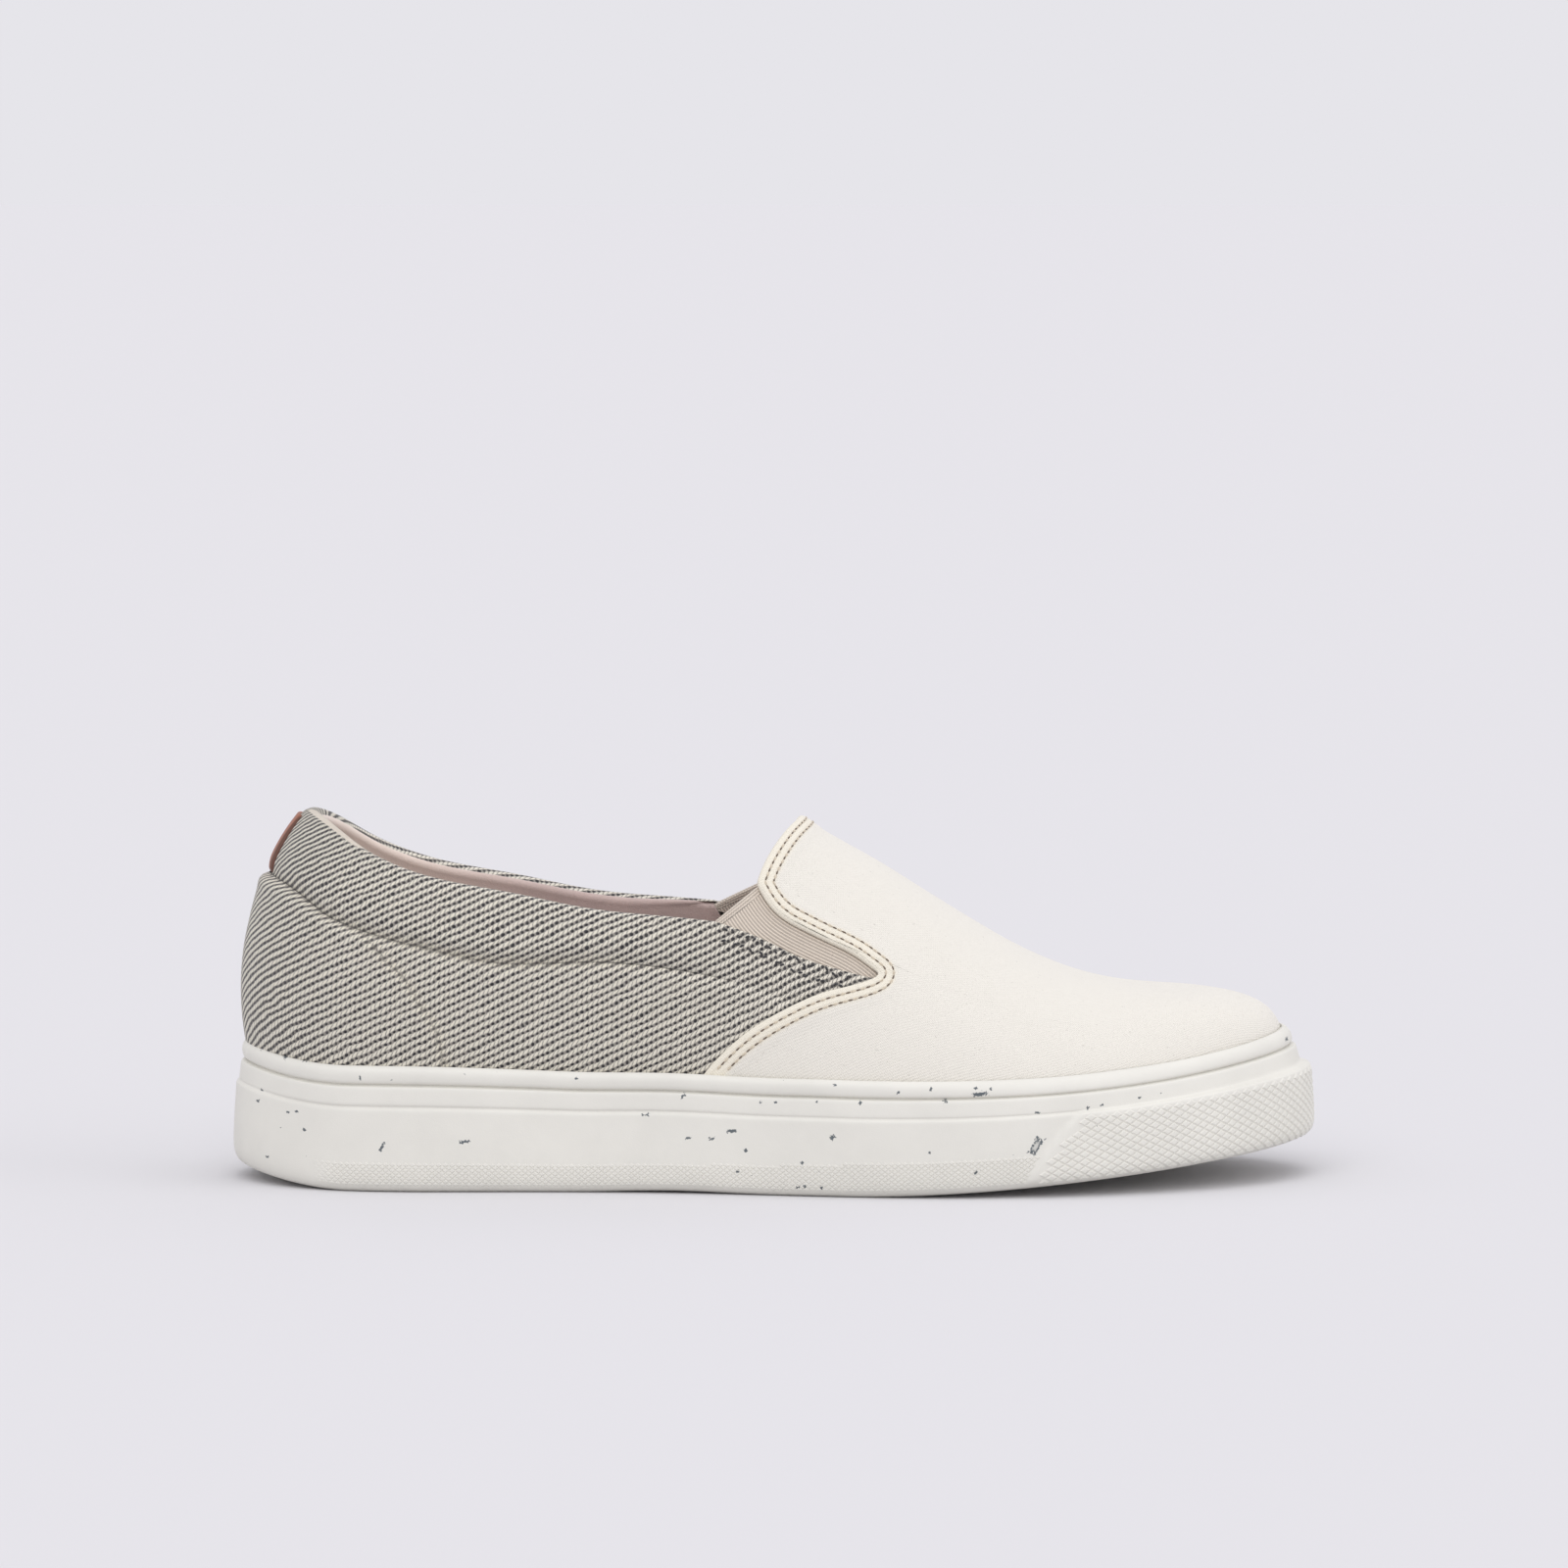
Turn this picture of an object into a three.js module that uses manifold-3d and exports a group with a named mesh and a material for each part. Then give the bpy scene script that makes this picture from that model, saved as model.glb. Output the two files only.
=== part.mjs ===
// A slip-on sneaker for the right foot: a cup sole, a canvas and twill upper, two elastic gores,
// a heel tab and an insole. Millimetres, +Z up, toe along +X, the outer side of the foot along -Y.
// The origin is on the floor, in the middle of the sole's outline.
import * as THREE from "three";
import { mergeVertices } from "three/addons/utils/BufferGeometryUtils.js";
import Module from "manifold-3d";

const wasm = await Module();
wasm.setup();

// The last, which is the foot shape that the upper is pulled over
const lastLength = 274.7; // heel to toe along the feather line, where upper and sole meet
const ballWidth = 93; // across the feather line at the ball of the foot
const throatHeight = 94.4; // top of the instep at the throat, above the floor
const toeBoxHeight = 49.2; // top of the toe box
const heelHeight = 100.8; // top of the collar at the heel
const collarHeight = 71.7; // the collar at its lowest, beside the gores

// The upper
const upperWall = 2.2; // cloth with its lining
const panelStep = 0.9; // the vamp's edge stands this far over the quarter
const collarStep = 1.1; // the collar band lies this far under the counter's edge
const collarPuff = 1.3; // how far the band's foam swells between its seams
const collarRoll = 5.6; // thickness of the padded collar at its rounded top
const goreThickness = 1.2;
const goreDepth = 1.0; // how far the elastic lies below the quarter's face
const tabWidth = 12;
const tabThickness = 1.4;
const insoleThickness = 5;
const insoleBevel = 1.2; // the insole's softened upper edge

// The sole
const sidewallHeight = 31.5; // at the waist
const heelStack = 19; // sole under the heel, from floor to insole
const foreStack = 10.5; // sole under the ball
const bodyFlare = 6.9; // how far the sole's foot stands outside the feather line at the heel
const rimLip = 1.4; // the rubber's thickness at its upper rim
const bumperStep = 0.8; // how far the toe bumper is raised
const toeSpring = 10.2;
const heelSpring = 4;
const archLift = 0.6;

const gap = 0.3; // between neighbouring pieces

const stations = 40; // ribs on each side of the last, from heel to toe
const ribSteps = 12; // points up a rib, from feather line to crown
const reach = 90; // half the length of a cutting prism across the shoe

// Half widths of the feather line, as shares of the ball width, at shares of the last's length
const planTable = [
  { at: 0, lateral: 0, medial: 0 },
  { at: 0.0291, lateral: 0.205, medial: 0.205 },
  { at: 0.0999, lateral: 0.325, medial: 0.325 },
  { at: 0.1809, lateral: 0.35, medial: 0.342 },
  { at: 0.3023, lateral: 0.355, medial: 0.325 },
  { at: 0.4237, lateral: 0.388, medial: 0.322 },
  { at: 0.5553, lateral: 0.455, medial: 0.385 },
  { at: 0.6464, lateral: 0.492, medial: 0.458 },
  { at: 0.7273, lateral: 0.485, medial: 0.5 },
  { at: 0.8083, lateral: 0.435, medial: 0.49 },
  { at: 0.8893, lateral: 0.335, medial: 0.43 },
  { at: 0.9601, lateral: 0.185, medial: 0.315 },
  { at: 1, lateral: -0.075, medial: 0.075 },
];

// The last's crown: rise is 0 at the toe box and 1 at the throat, side is its shift to the inner side
// as a share of the ball width, round is the exponent of the section's superellipse, and swell is how
// far the section bellies out, as a share of the ball width. Behind the throat the crown is open air.
const lastTable = [
  { at: 0, rise: 1.4, side: 0, round: 2.45, swell: 0.066 },
  { at: 0.1404, rise: 1.4, side: 0, round: 2.42, swell: 0.055 },
  { at: 0.2821, rise: 1.4, side: 0.015, round: 2.4, swell: 0.036 },
  { at: 0.3833, rise: 1.38, side: 0.03, round: 2.25, swell: 0.03 },
  { at: 0.4541, rise: 1.3, side: 0.038, round: 2.12, swell: 0.028 },
  { at: 0.4946, rise: 1.16, side: 0.042, round: 2.06, swell: 0.028 },
  { at: 0.534, rise: 1, side: 0.046, round: 2.03, swell: 0.028 },
  { at: 0.5634, rise: 0.892, side: 0.048, round: 2, swell: 0.028 },
  { at: 0.5998, rise: 0.765, side: 0.05, round: 2, swell: 0.028 },
  { at: 0.6363, rise: 0.63, side: 0.052, round: 2.02, swell: 0.028 },
  { at: 0.6737, rise: 0.487, side: 0.054, round: 2.07, swell: 0.026 },
  { at: 0.7223, rise: 0.307, side: 0.056, round: 2.18, swell: 0.023 },
  { at: 0.7628, rise: 0.184, side: 0.058, round: 2.3, swell: 0.02 },
  { at: 0.7992, rise: 0.097, side: 0.06, round: 2.45, swell: 0.016 },
  { at: 0.8366, rise: 0.042, side: 0.062, round: 2.6, swell: 0.012 },
  { at: 0.8731, rise: 0.013, side: 0.065, round: 3, swell: 0.009 },
  { at: 0.9095, rise: 0, side: 0.068, round: 3.6, swell: 0.006 },
  { at: 1, rise: -0.03, side: 0.075, round: 5, swell: 0 },
];
const heelPivot = 0.137; // the ribs fan out round these two shares of the last's length
const toePivot = 0.85;
const pivotSoftness = 0.029;
const bellyDrop = 0.5; // 0 puts the section's belly half way up, and more puts it lower

// The sole along its length: wall is the sidewall's height as a share of its height at the waist,
// flare is its foot's stand-out as a share of the flare at the heel, and stack runs from 0 for the
// thickness under the ball to 1 for the thickness under the heel.
const soleTable = [
  { at: 0, wall: 1.04, flare: 1, stack: 0.95 },
  { at: 0.1404, wall: 1.06, flare: 0.95, stack: 1 },
  { at: 0.3225, wall: 1.01, flare: 0.86, stack: 0.82 },
  { at: 0.4541, wall: 0.985, flare: 0.85, stack: 0.5 },
  { at: 0.6059, wall: 0.968, flare: 0.86, stack: 0.14 },
  { at: 0.7476, wall: 0.905, flare: 0.86, stack: 0 },
  { at: 0.8943, wall: 0.885, flare: 0.98, stack: 0 },
  { at: 1, wall: 0.93, flare: 1.1, stack: 0 },
];
const heelLiftFrom = 0.095; // the floor contact ends here, and the heel's edge rises behind it
const toeLiftFrom = 0.58;
const archFrom = 0.3;
const archTo = 0.515;
const heelLiftPower = 1.6;
const toeLiftPower = 1.5;

// The sidewall from floor to rim. up is the share of the sidewall's height. follow is 0 on the rim's
// outline, 1 on the cup wall's and 2 on the foot's. out is a step outwards in millimetres.
const sidewallTable = [
  { up: 0, follow: 2, out: -3.2, bumper: 0 },
  { up: 0.025, follow: 2, out: -1.4, bumper: 0 },
  { up: 0.065, follow: 2, out: -0.35, bumper: 0.6 },
  { up: 0.12, follow: 2, out: 0, bumper: 1 },
  { up: 0.42, follow: 2, out: -0.35, bumper: 1 },
  { up: 0.61, follow: 2, out: -0.95, bumper: 1 },
  { up: 0.66, follow: 2, out: -1.05, bumper: 0.9 },
  { up: 0.685, follow: 1.6, out: -0.6, bumper: 0.4 },
  { up: 0.697, follow: 1.36, out: 0, bumper: 0 },
  { up: 0.835, follow: 1.15, out: 0.1, bumper: 0 },
  { up: 0.85, follow: 1.08, out: -0.6, bumper: 0 },
  { up: 0.866, follow: 0.83, out: 0.1, bumper: 0 },
  { up: 0.925, follow: 0.4, out: 0.4, bumper: 0 },
  { up: 0.978, follow: 0.1, out: 0, bumper: 0 },
  { up: 1, follow: 0, out: -0.8, bumper: 0 },
];
const bumperEdgeLow = { at: 0.735, up: 0 }; // the slanted end of the toe bumper on the side
const bumperEdgeHigh = { at: 0.779, up: 0.69 };

// Edges in side view. at is a share of the last's length.
const collarTable = [
  // high runs from 0 at the collar's low point to 1 at its top on the heel
  { at: -0.1, high: 1 },
  { at: 0.0432, high: 1 },
  { at: 0.0766, high: 0.83 },
  { at: 0.0979, high: 0.705 },
  { at: 0.1313, high: 0.55 },
  { at: 0.1677, high: 0.43 },
  { at: 0.2041, high: 0.35 },
  { at: 0.2547, high: 0.26 },
  { at: 0.2983, high: 0.17 },
  { at: 0.3347, high: 0.11 },
  { at: 0.3893, high: 0.06 },
  { at: 0.444, high: 0 },
];
const bandTable = [
  // the seam under the collar band, as shares of the collar's low height
  { at: -0.1, high: 1.16 },
  { at: 0.0088, high: 1.145 },
  { at: 0.0453, high: 1.08 },
  { at: 0.0695, high: 1.017 },
  { at: 0.0948, high: 0.976 },
  { at: 0.1495, high: 0.916 },
  { at: 0.1869, high: 0.883 },
  { at: 0.2254, high: 0.85 },
  { at: 0.2719, high: 0.841 },
  { at: 0.3529, high: 0.843 },
  { at: 0.4075, high: 0.819 },
  { at: 0.4713, high: 0.77 },
  { at: 0.5249, high: 0.7 },
];
const throatTable = [
  // the vamp's free edge over the instep, as shares of the throat's height
  { at: 0.4885, high: 0.862 },
  { at: 0.4905, high: 0.896 },
  { at: 0.4955, high: 0.925 },
  { at: 0.5024, high: 0.953 },
  { at: 0.5125, high: 0.984 },
  { at: 0.5228, high: 1.006 },
  { at: 0.5337, high: 1.02 },
  { at: 0.552, high: 1.05 },
];
const goreFrontTable = [
  // the vamp's edge along the gore, from the throat down to the point of the notch
  { at: 0.4885, high: 0.862 },
  { at: 0.4905, high: 0.8178 },
  { at: 0.5033, high: 0.7818 },
  { at: 0.527, high: 0.7437 },
  { at: 0.5634, high: 0.6973 },
  { at: 0.5877, high: 0.6582 },
  { at: 0.6029, high: 0.618 },
];
const goreBackTable = [
  // the quarter's edge along the gore, from the point of the notch up to the collar
  { at: 0.5826, high: 0.6139 },
  { at: 0.5637, high: 0.6283 },
  { at: 0.527, high: 0.6613 },
  { at: 0.4905, high: 0.7107 },
];
const vampFootTable = [
  // the vamp's edge from the notch down to the sole
  { at: 0.6029, high: 0.618 },
  { at: 0.5634, high: 0.5655 },
  { at: 0.527, high: 0.5294 },
  { at: 0.4996, high: 0.4882 },
  { at: 0.4723, high: 0.4347 },
  { at: 0.4537, high: 0.3852 },
  { at: 0.4389, high: 0.3368 },
  { at: 0.4136, high: 0.1545 },
];

const vampStart = vampFootTable[vampFootTable.length - 2].at; // where the vamp meets the rim

// A natural cubic spline through one column of a table
function spline(table, column) {
  const x = table.map((row) => row.at);
  const y = table.map((row) => row[column]);
  const last = x.length - 1;
  const bend = new Array(x.length).fill(0);
  const share = new Array(x.length).fill(0);
  for (let i = 1; i < last; i++) {
    const before = x[i] - x[i - 1];
    const after = x[i + 1] - x[i];
    const pivot = 2 * (before + after) - before * share[i - 1];
    const turn = 6 * ((y[i + 1] - y[i]) / after - (y[i] - y[i - 1]) / before);
    share[i] = after / pivot;
    bend[i] = (turn - before * bend[i - 1]) / pivot;
  }
  for (let i = last - 1; i > 0; i--) bend[i] -= share[i] * bend[i + 1];
  return (at) => {
    let i = 0;
    while (i < last - 1 && at > x[i + 1]) i++;
    const width = x[i + 1] - x[i];
    const p = (x[i + 1] - at) / width;
    const q = 1 - p;
    const curve = ((p ** 3 - p) * bend[i] + (q ** 3 - q) * bend[i + 1]) * (width ** 2 / 6);
    return p * y[i] + q * y[i + 1] + curve;
  };
}

// The outline's columns are curves of the angle whose cosine gives the place along the last, so that
// both ends come out round
const angleOf = (at) => Math.acos(1 - 2 * at);
const planByAngle = planTable.map((row) => ({ ...row, at: angleOf(row.at) }));
const halfWidth = { lateral: spline(planByAngle, "lateral"), medial: spline(planByAngle, "medial") };
const lastCurve = {};
for (const column of ["rise", "side", "round", "swell"]) lastCurve[column] = spline(lastTable, column);
const soleCurve = {};
for (const column of ["wall", "flare", "stack"]) soleCurve[column] = spline(soleTable, column);

const clamp01 = (value) => Math.min(1, Math.max(0, value));
const smooth = (value) => clamp01(value) ** 2 * (3 - 2 * clamp01(value));
const mix = (a, b, share) => a + (b - a) * share;

// Heights along the shoe, at a share of the last's length
const crownHeight = (at) => mix(toeBoxHeight, throatHeight, lastCurve.rise(at));
function groundHeight(at) {
  const heel = heelSpring * clamp01((heelLiftFrom - at) / heelLiftFrom) ** heelLiftPower;
  const toe = toeSpring * clamp01((at - toeLiftFrom) / (1 - toeLiftFrom)) ** toeLiftPower;
  const arch = clamp01((at - archFrom) / (archTo - archFrom));
  return heel + toe + archLift * Math.sin(Math.PI * arch) ** 2;
}
const platformHeight = (at) => groundHeight(at) + mix(foreStack, heelStack, soleCurve.stack(at));
const wallHeight = (at) => sidewallHeight * soleCurve.wall(at);
const rimHeight = (at) => groundHeight(at) + wallHeight(at);
const collarCurve = spline(collarTable, "high");
const collarTop = (at) => mix(collarHeight, heelHeight, clamp01(collarCurve(at)));
const bandCurve = spline(bandTable, "high");
const bandSeam = (at) => collarHeight * bandCurve(at);

// A turn runs round the shoe: 0 at the heel, up to pi on the outer side, and back on the inner side
function feather(turn) {
  const inner = turn > Math.PI;
  const angle = inner ? 2 * Math.PI - turn : turn;
  const at = (1 - Math.cos(angle)) / 2;
  const width = inner ? halfWidth.medial(angle) : -halfWidth.lateral(angle);
  return { at, x: at * lastLength, y: width * ballWidth };
}

// The outward direction of the feather line in plan
function outward(turn) {
  const step = 1e-4;
  const whole = 2 * Math.PI;
  const a = feather((turn - step + whole) % whole);
  const b = feather((turn + step) % whole);
  return new THREE.Vector2(b.y - a.y, a.x - b.x).normalize();
}

// Where a rib ends on the crown line: straight across in the middle, fanned at heel and toe
function spineAt(at) {
  const fromHeel = pivotSoftness * Math.log1p(Math.exp((at - heelPivot) / pivotSoftness));
  const raised = heelPivot + fromHeel;
  const fromToe = pivotSoftness * Math.log1p(Math.exp((toePivot - raised) / pivotSoftness));
  return toePivot - fromToe;
}

// A point on the last: up runs from 0 at the feather line to 1 on the crown
function lastPoint(turn, up) {
  const foot = feather(turn);
  const spine = spineAt(foot.at);
  const spineY = lastCurve.side(spine) * ballWidth;
  const round = lastCurve.round(foot.at);
  const angle = (up * Math.PI) / 2;
  const size = (Math.cos(angle) ** round + Math.sin(angle) ** round) ** (1 / round);
  const across = Math.cos(angle) / size;
  const rise = Math.sin(angle) / size;
  const toFoot = new THREE.Vector2(foot.x - spine * lastLength, foot.y - spineY);
  const bellyRise = (rise * (1 + bellyDrop)) / (1 + bellyDrop * rise);
  const swell = lastCurve.swell(foot.at) * ballWidth * Math.sin(Math.PI * bellyRise);
  const belly = swell / toFoot.length();
  const x = spine * lastLength + toFoot.x * (across + belly);
  const y = spineY + toFoot.y * (across + belly);
  const base = platformHeight(foot.at) + gap;
  return new THREE.Vector3(x, y, mix(base, crownHeight(x / lastLength), rise));
}

// The last's outward normal, from its slopes round the shoe and up the rib
function lastNormal(turn, up) {
  const step = 1e-3;
  const whole = 2 * Math.PI;
  if (up === 1) {
    const at = spineAt(feather(turn).at);
    const slope = (crownHeight(at + step) - crownHeight(at - step)) / (2 * step * lastLength);
    return new THREE.Vector3(-slope, 0, 1).normalize();
  }
  const around = lastPoint((turn + step) % whole, up).sub(lastPoint((turn - step + whole) % whole, up));
  const along = lastPoint(turn, up + step).sub(lastPoint(turn, Math.max(0, up - step)));
  const normal = around.cross(along);
  if (up === 0) normal.z = 0;
  return normal.normalize();
}

const turnAt = (index) => (Math.PI * index) / stations;

// Joins rings of equal length, listed from below, into one closed surface. A cap is a ladder of
// rungs from the outer to the inner side.
function closedStack(rings, topped) {
  const count = rings[0].length;
  const triangles = [];
  const face = (...corners) => triangles.push(...corners);
  for (let level = 0; level < rings.length - 1; level++) {
    for (let i = 0; i < count; i++) {
      const next = (i + 1) % count;
      const [a, b] = [rings[level][i], rings[level][next]];
      const [c, d] = [rings[level + 1][next], rings[level + 1][i]];
      face(a, b, c, a, c, d);
    }
  }
  const half = count / 2;
  for (let i = 0; i < half; i++) {
    for (const [ring, up] of [[rings[0], false], [rings[rings.length - 1], true]]) {
      if (up && !topped) continue;
      const [a, b] = [ring[i], ring[i + 1]];
      const [c, d] = [ring[(count - i - 1) % count], ring[(count - i) % count]];
      if (up) face(a, b, c, a, c, d);
      else face(a, c, b, a, d, c);
    }
  }
  return solidFromTriangles(triangles);
}

// Welds loose triangles and drops those without area
function solidFromTriangles(corners) {
  const loose = new THREE.BufferGeometry().setFromPoints(corners);
  return solidFromGeometry(loose);
}

function solidFromGeometry(geometry) {
  const bare = new THREE.BufferGeometry().setAttribute("position", geometry.getAttribute("position"));
  if (geometry.index) bare.setIndex(geometry.index);
  const welded = mergeVertices(bare, 1e-3);
  const index = [];
  for (let i = 0; i < welded.index.count; i += 3) {
    const [a, b, c] = [0, 1, 2].map((corner) => welded.index.getX(i + corner));
    if (a !== b && b !== c && c !== a) index.push(a, b, c);
  }
  const mesh = new wasm.Mesh({
    numProp: 3,
    vertProperties: new Float32Array(welded.attributes.position.array),
    triVerts: new Uint32Array(index),
  });
  return new wasm.Manifold(mesh);
}

function geometryFromSolid(solid) {
  const mesh = solid.getMesh();
  const geometry = new THREE.BufferGeometry();
  geometry.setAttribute("position", new THREE.BufferAttribute(mesh.vertProperties, 3));
  geometry.setIndex(new THREE.BufferAttribute(mesh.triVerts, 1));
  geometry.computeVertexNormals();
  return geometry;
}

// The last grown by an offset, which may depend on the place, and let down below its feather line
function lastForm(offsetAt, drop) {
  const rings = [];
  for (let step = -1; step <= ribSteps; step++) {
    const up = Math.max(0, step) / ribSteps;
    const ring = [];
    for (let i = 0; i < 2 * stations; i++) {
      // Both sides share the points of the crown
      const turn = turnAt(up === 1 ? Math.min(i, 2 * stations - i) : i);
      const point = lastPoint(turn, up);
      const offset = offsetAt(point.x / lastLength, point.z);
      point.addScaledVector(lastNormal(turn, up), offset);
      if (step < 0) point.z = platformHeight(feather(turn).at) + gap - drop;
      ring.push(point);
    }
    rings.push(ring);
  }
  return closedStack(rings, false);
}

// A prism across the shoe from an outline in side view, on both sides or on one
function sidePrism(outline, side = 0) {
  const shape = new THREE.Shape(outline.map(([x, z]) => new THREE.Vector2(x, z)));
  const depth = side === 0 ? 2 * reach : reach;
  const geometry = new THREE.ExtrudeGeometry(shape, { depth, bevelEnabled: false, steps: 1 });
  geometry.rotateX(Math.PI / 2);
  geometry.translate(0, side < 0 ? 0 : reach, 0);
  return solidFromGeometry(geometry);
}

const edgeOf = (table, height) => table.map((row) => [row.at * lastLength, row.high * height]);

// Points along a height curve, for an edge in side view
function sampled(height, from, to, steps) {
  const points = [];
  for (let i = 0; i <= steps; i++) {
    const at = mix(from, to, i / steps);
    points.push([at * lastLength, height(at)]);
  }
  return points;
}

// Moves an outline in side view outwards by a distance
function grown(outline, distance) {
  const area = outline.reduce((sum, [x, z], i) => {
    const [nextX, nextZ] = outline[(i + 1) % outline.length];
    return sum + x * nextZ - nextX * z;
  }, 0);
  return outline.map(([x, z], i) => {
    const here = new THREE.Vector2(x, z);
    const before = new THREE.Vector2(...outline[(i + outline.length - 1) % outline.length]);
    const after = new THREE.Vector2(...outline[(i + 1) % outline.length]);
    const intoCorner = here.clone().sub(before).normalize();
    const outOfCorner = after.sub(here).normalize();
    const normalIn = new THREE.Vector2(intoCorner.y, -intoCorner.x);
    const normalOut = new THREE.Vector2(outOfCorner.y, -outOfCorner.x);
    const middle = normalIn.clone().add(normalOut).normalize();
    const miter = (Math.sign(area) * distance) / Math.max(0.5, middle.dot(normalIn));
    return [x + middle.x * miter, z + middle.y * miter];
  });
}

const sky = heelHeight + throatHeight; // higher than anything
const goreCorner = collarTable[collarTable.length - 1].at;

// Everything that is cut away above the collar and the throat
function openingPrism() {
  const collar = sampled((at) => collarTop(at) - collarRoll / 2, -0.1, goreCorner, 40);
  const throat = edgeOf(throatTable, throatHeight);
  const ahead = throat[throat.length - 1][0];
  return sidePrism([...collar, ...throat, [ahead, sky], [collar[0][0], sky]]);
}

function vampOutline() {
  const front = edgeOf(goreFrontTable, throatHeight).reverse();
  const foot = edgeOf(vampFootTable, throatHeight).reverse();
  const under = -lastLength * 0.05;
  const ahead = lastLength * 1.1;
  const top = [front[front.length - 1][0], sky];
  return [[foot[0][0], under], ...foot, ...front.slice(1), top, [ahead, sky], [ahead, under]];
}

function bandOutline() {
  const seam = sampled(bandSeam, -0.1, 0.52, 40);
  const under = -lastLength * 0.05;
  const ahead = lastLength * 1.1;
  return [[seam[0][0], under], ...seam, [ahead, seam[seam.length - 1][1]], [ahead, under]];
}

// The elastic's outline: the collar's corner, the quarter's edge, the notch, the vamp's edge
function goreOutline() {
  const front = edgeOf(goreFrontTable, throatHeight).reverse();
  const back = edgeOf(goreBackTable, throatHeight).reverse();
  const corner = [goreCorner * lastLength, collarHeight];
  return [corner, ...back, ...front.slice(0, -1)];
}

// The collar band's face: sunk at its lower seam, swollen by the foam, and closing at the top
function bandOffset(at, height) {
  const share = clamp01((height - bandSeam(at)) / (collarTop(at) - bandSeam(at)));
  return -collarStep + collarPuff * Math.sin(Math.PI * share) * smooth((goreCorner - at) / 0.05);
}

// The upper's inner face: the cloth's wall, and the collar's foam behind it
function innerOffset(at, height) {
  const share = (height - bandSeam(at)) / (collarTop(at) - bandSeam(at));
  const foam = (collarRoll - upperWall) * smooth(share) * smooth((goreCorner + 0.03 - at) / 0.06);
  return -(upperWall + foam);
}

// The height on a rib, found by halving
function upAtHeight(turn, heightOf) {
  let low = 0;
  let high = 1;
  for (let i = 0; i < 40; i++) {
    const middle = (low + high) / 2;
    const point = lastPoint(turn, middle);
    if (point.z < heightOf(point.x / lastLength)) low = middle;
    else high = middle;
  }
  return (low + high) / 2;
}

// The padded roll along the collar's top, from gore to gore round the heel
function collarTube(radius) {
  const points = [];
  const cut = (at) => collarTop(at) - collarRoll / 2;
  const end = angleOf(goreCorner + 0.012);
  const steps = 56;
  for (let i = 0; i <= steps; i++) {
    const turn = (mix(end, -end, i / steps) + 2 * Math.PI) % (2 * Math.PI);
    const up = upAtHeight(turn, cut);
    const inwards = -(collarStep + collarRoll / 2);
    points.push(lastPoint(turn, up).addScaledVector(lastNormal(turn, up), inwards));
  }
  const circle = new THREE.Shape().absarc(0, 0, radius, 0, 2 * Math.PI);
  const path = new THREE.CatmullRomCurve3(points);
  const geometry = new THREE.ExtrudeGeometry(circle, {
    steps: 64,
    curveSegments: 5,
    bevelEnabled: false,
    extrudePath: path,
  });
  return solidFromGeometry(geometry);
}

const vampPrism = sidePrism(vampOutline());

function makeUpper() {
  const band = lastForm(bandOffset, 0);
  const quarter = lastForm(() => 0, 0).intersect(sidePrism(bandOutline()));
  const vamp = lastForm(() => panelStep, 0).intersect(vampPrism);
  const inside = lastForm(innerOffset, 3 * gap + archLift + heelSpring);
  const shell = band.add(quarter).add(vamp).subtract(inside).subtract(openingPrism());
  return shell.add(collarTube(collarRoll / 2)).subtract(sidePrism(grown(goreOutline(), gap)));
}

function makeGore(side) {
  const outer = lastForm(() => -goreDepth, 0);
  const inner = lastForm(() => -goreDepth - goreThickness, gap);
  return outer.subtract(inner).intersect(sidePrism(goreOutline(), side));
}

// The leather strip down the back of the collar band
function makeHeelTab() {
  const outer = lastForm((at, height) => bandOffset(at, height) + gap + tabThickness, 0);
  const inner = lastForm((at, height) => bandOffset(at, height) + gap, gap);
  const low = bandSeam(0) + gap;
  const high = heelHeight - collarRoll / 2;
  const strip = new THREE.BoxGeometry(heelPivot * lastLength * 2, tabWidth, high - low);
  strip.translate(0, 0, (low + high) / 2);
  return outer
    .subtract(inner)
    .intersect(solidFromGeometry(strip))
    .subtract(collarTube(collarRoll / 2 + gap));
}

// The sole's outer shape. With raised above 0, the toe bumper's rows stand out by that much.
function soleForm(raised) {
  const rings = sidewallTable.map((row) => {
    const ring = [];
    for (let i = 0; i < 2 * stations; i++) {
      const turn = turnAt(i);
      const foot = feather(turn);
      const out = outward(turn);
      const rimUp = upAtHeight(turn, () => rimHeight(foot.at));
      // How far the upper stands outside the feather line, from there up to the rim
      const leans = [0, 0.25, 0.5, 0.75, 1].map((share) => {
        const point = lastPoint(turn, rimUp * share);
        return (point.x - foot.x) * out.x + (point.y - foot.y) * out.y;
      });
      const lip = rimLip + gap + panelStep * smooth(foot.at / vampStart);
      const rim = leans[leans.length - 1] + lip;
      const places = [rim, Math.max(...leans) + lip, bodyFlare * soleCurve.flare(foot.at)];
      const from = Math.min(1, Math.floor(row.follow));
      const outline = mix(places[from], places[from + 1], row.follow - from);
      const away = outline + row.out + raised * row.bumper;
      const z = groundHeight(foot.at) + row.up * wallHeight(foot.at);
      ring.push(new THREE.Vector3(foot.x + out.x * away, foot.y + out.y * away, z));
    }
    return ring;
  });
  return closedStack(rings, true);
}

function bumperOutline() {
  const heightAt = (edge) => groundHeight(edge.at) + edge.up * wallHeight(edge.at);
  const ahead = lastLength * 1.1;
  const low = [bumperEdgeLow.at * lastLength, heightAt(bumperEdgeLow) - sidewallHeight];
  const foot = [bumperEdgeLow.at * lastLength, heightAt(bumperEdgeLow)];
  const high = [bumperEdgeHigh.at * lastLength, heightAt(bumperEdgeHigh)];
  return [low, foot, high, [high[0], sky], [ahead, sky], [ahead, low[1]]];
}

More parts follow.
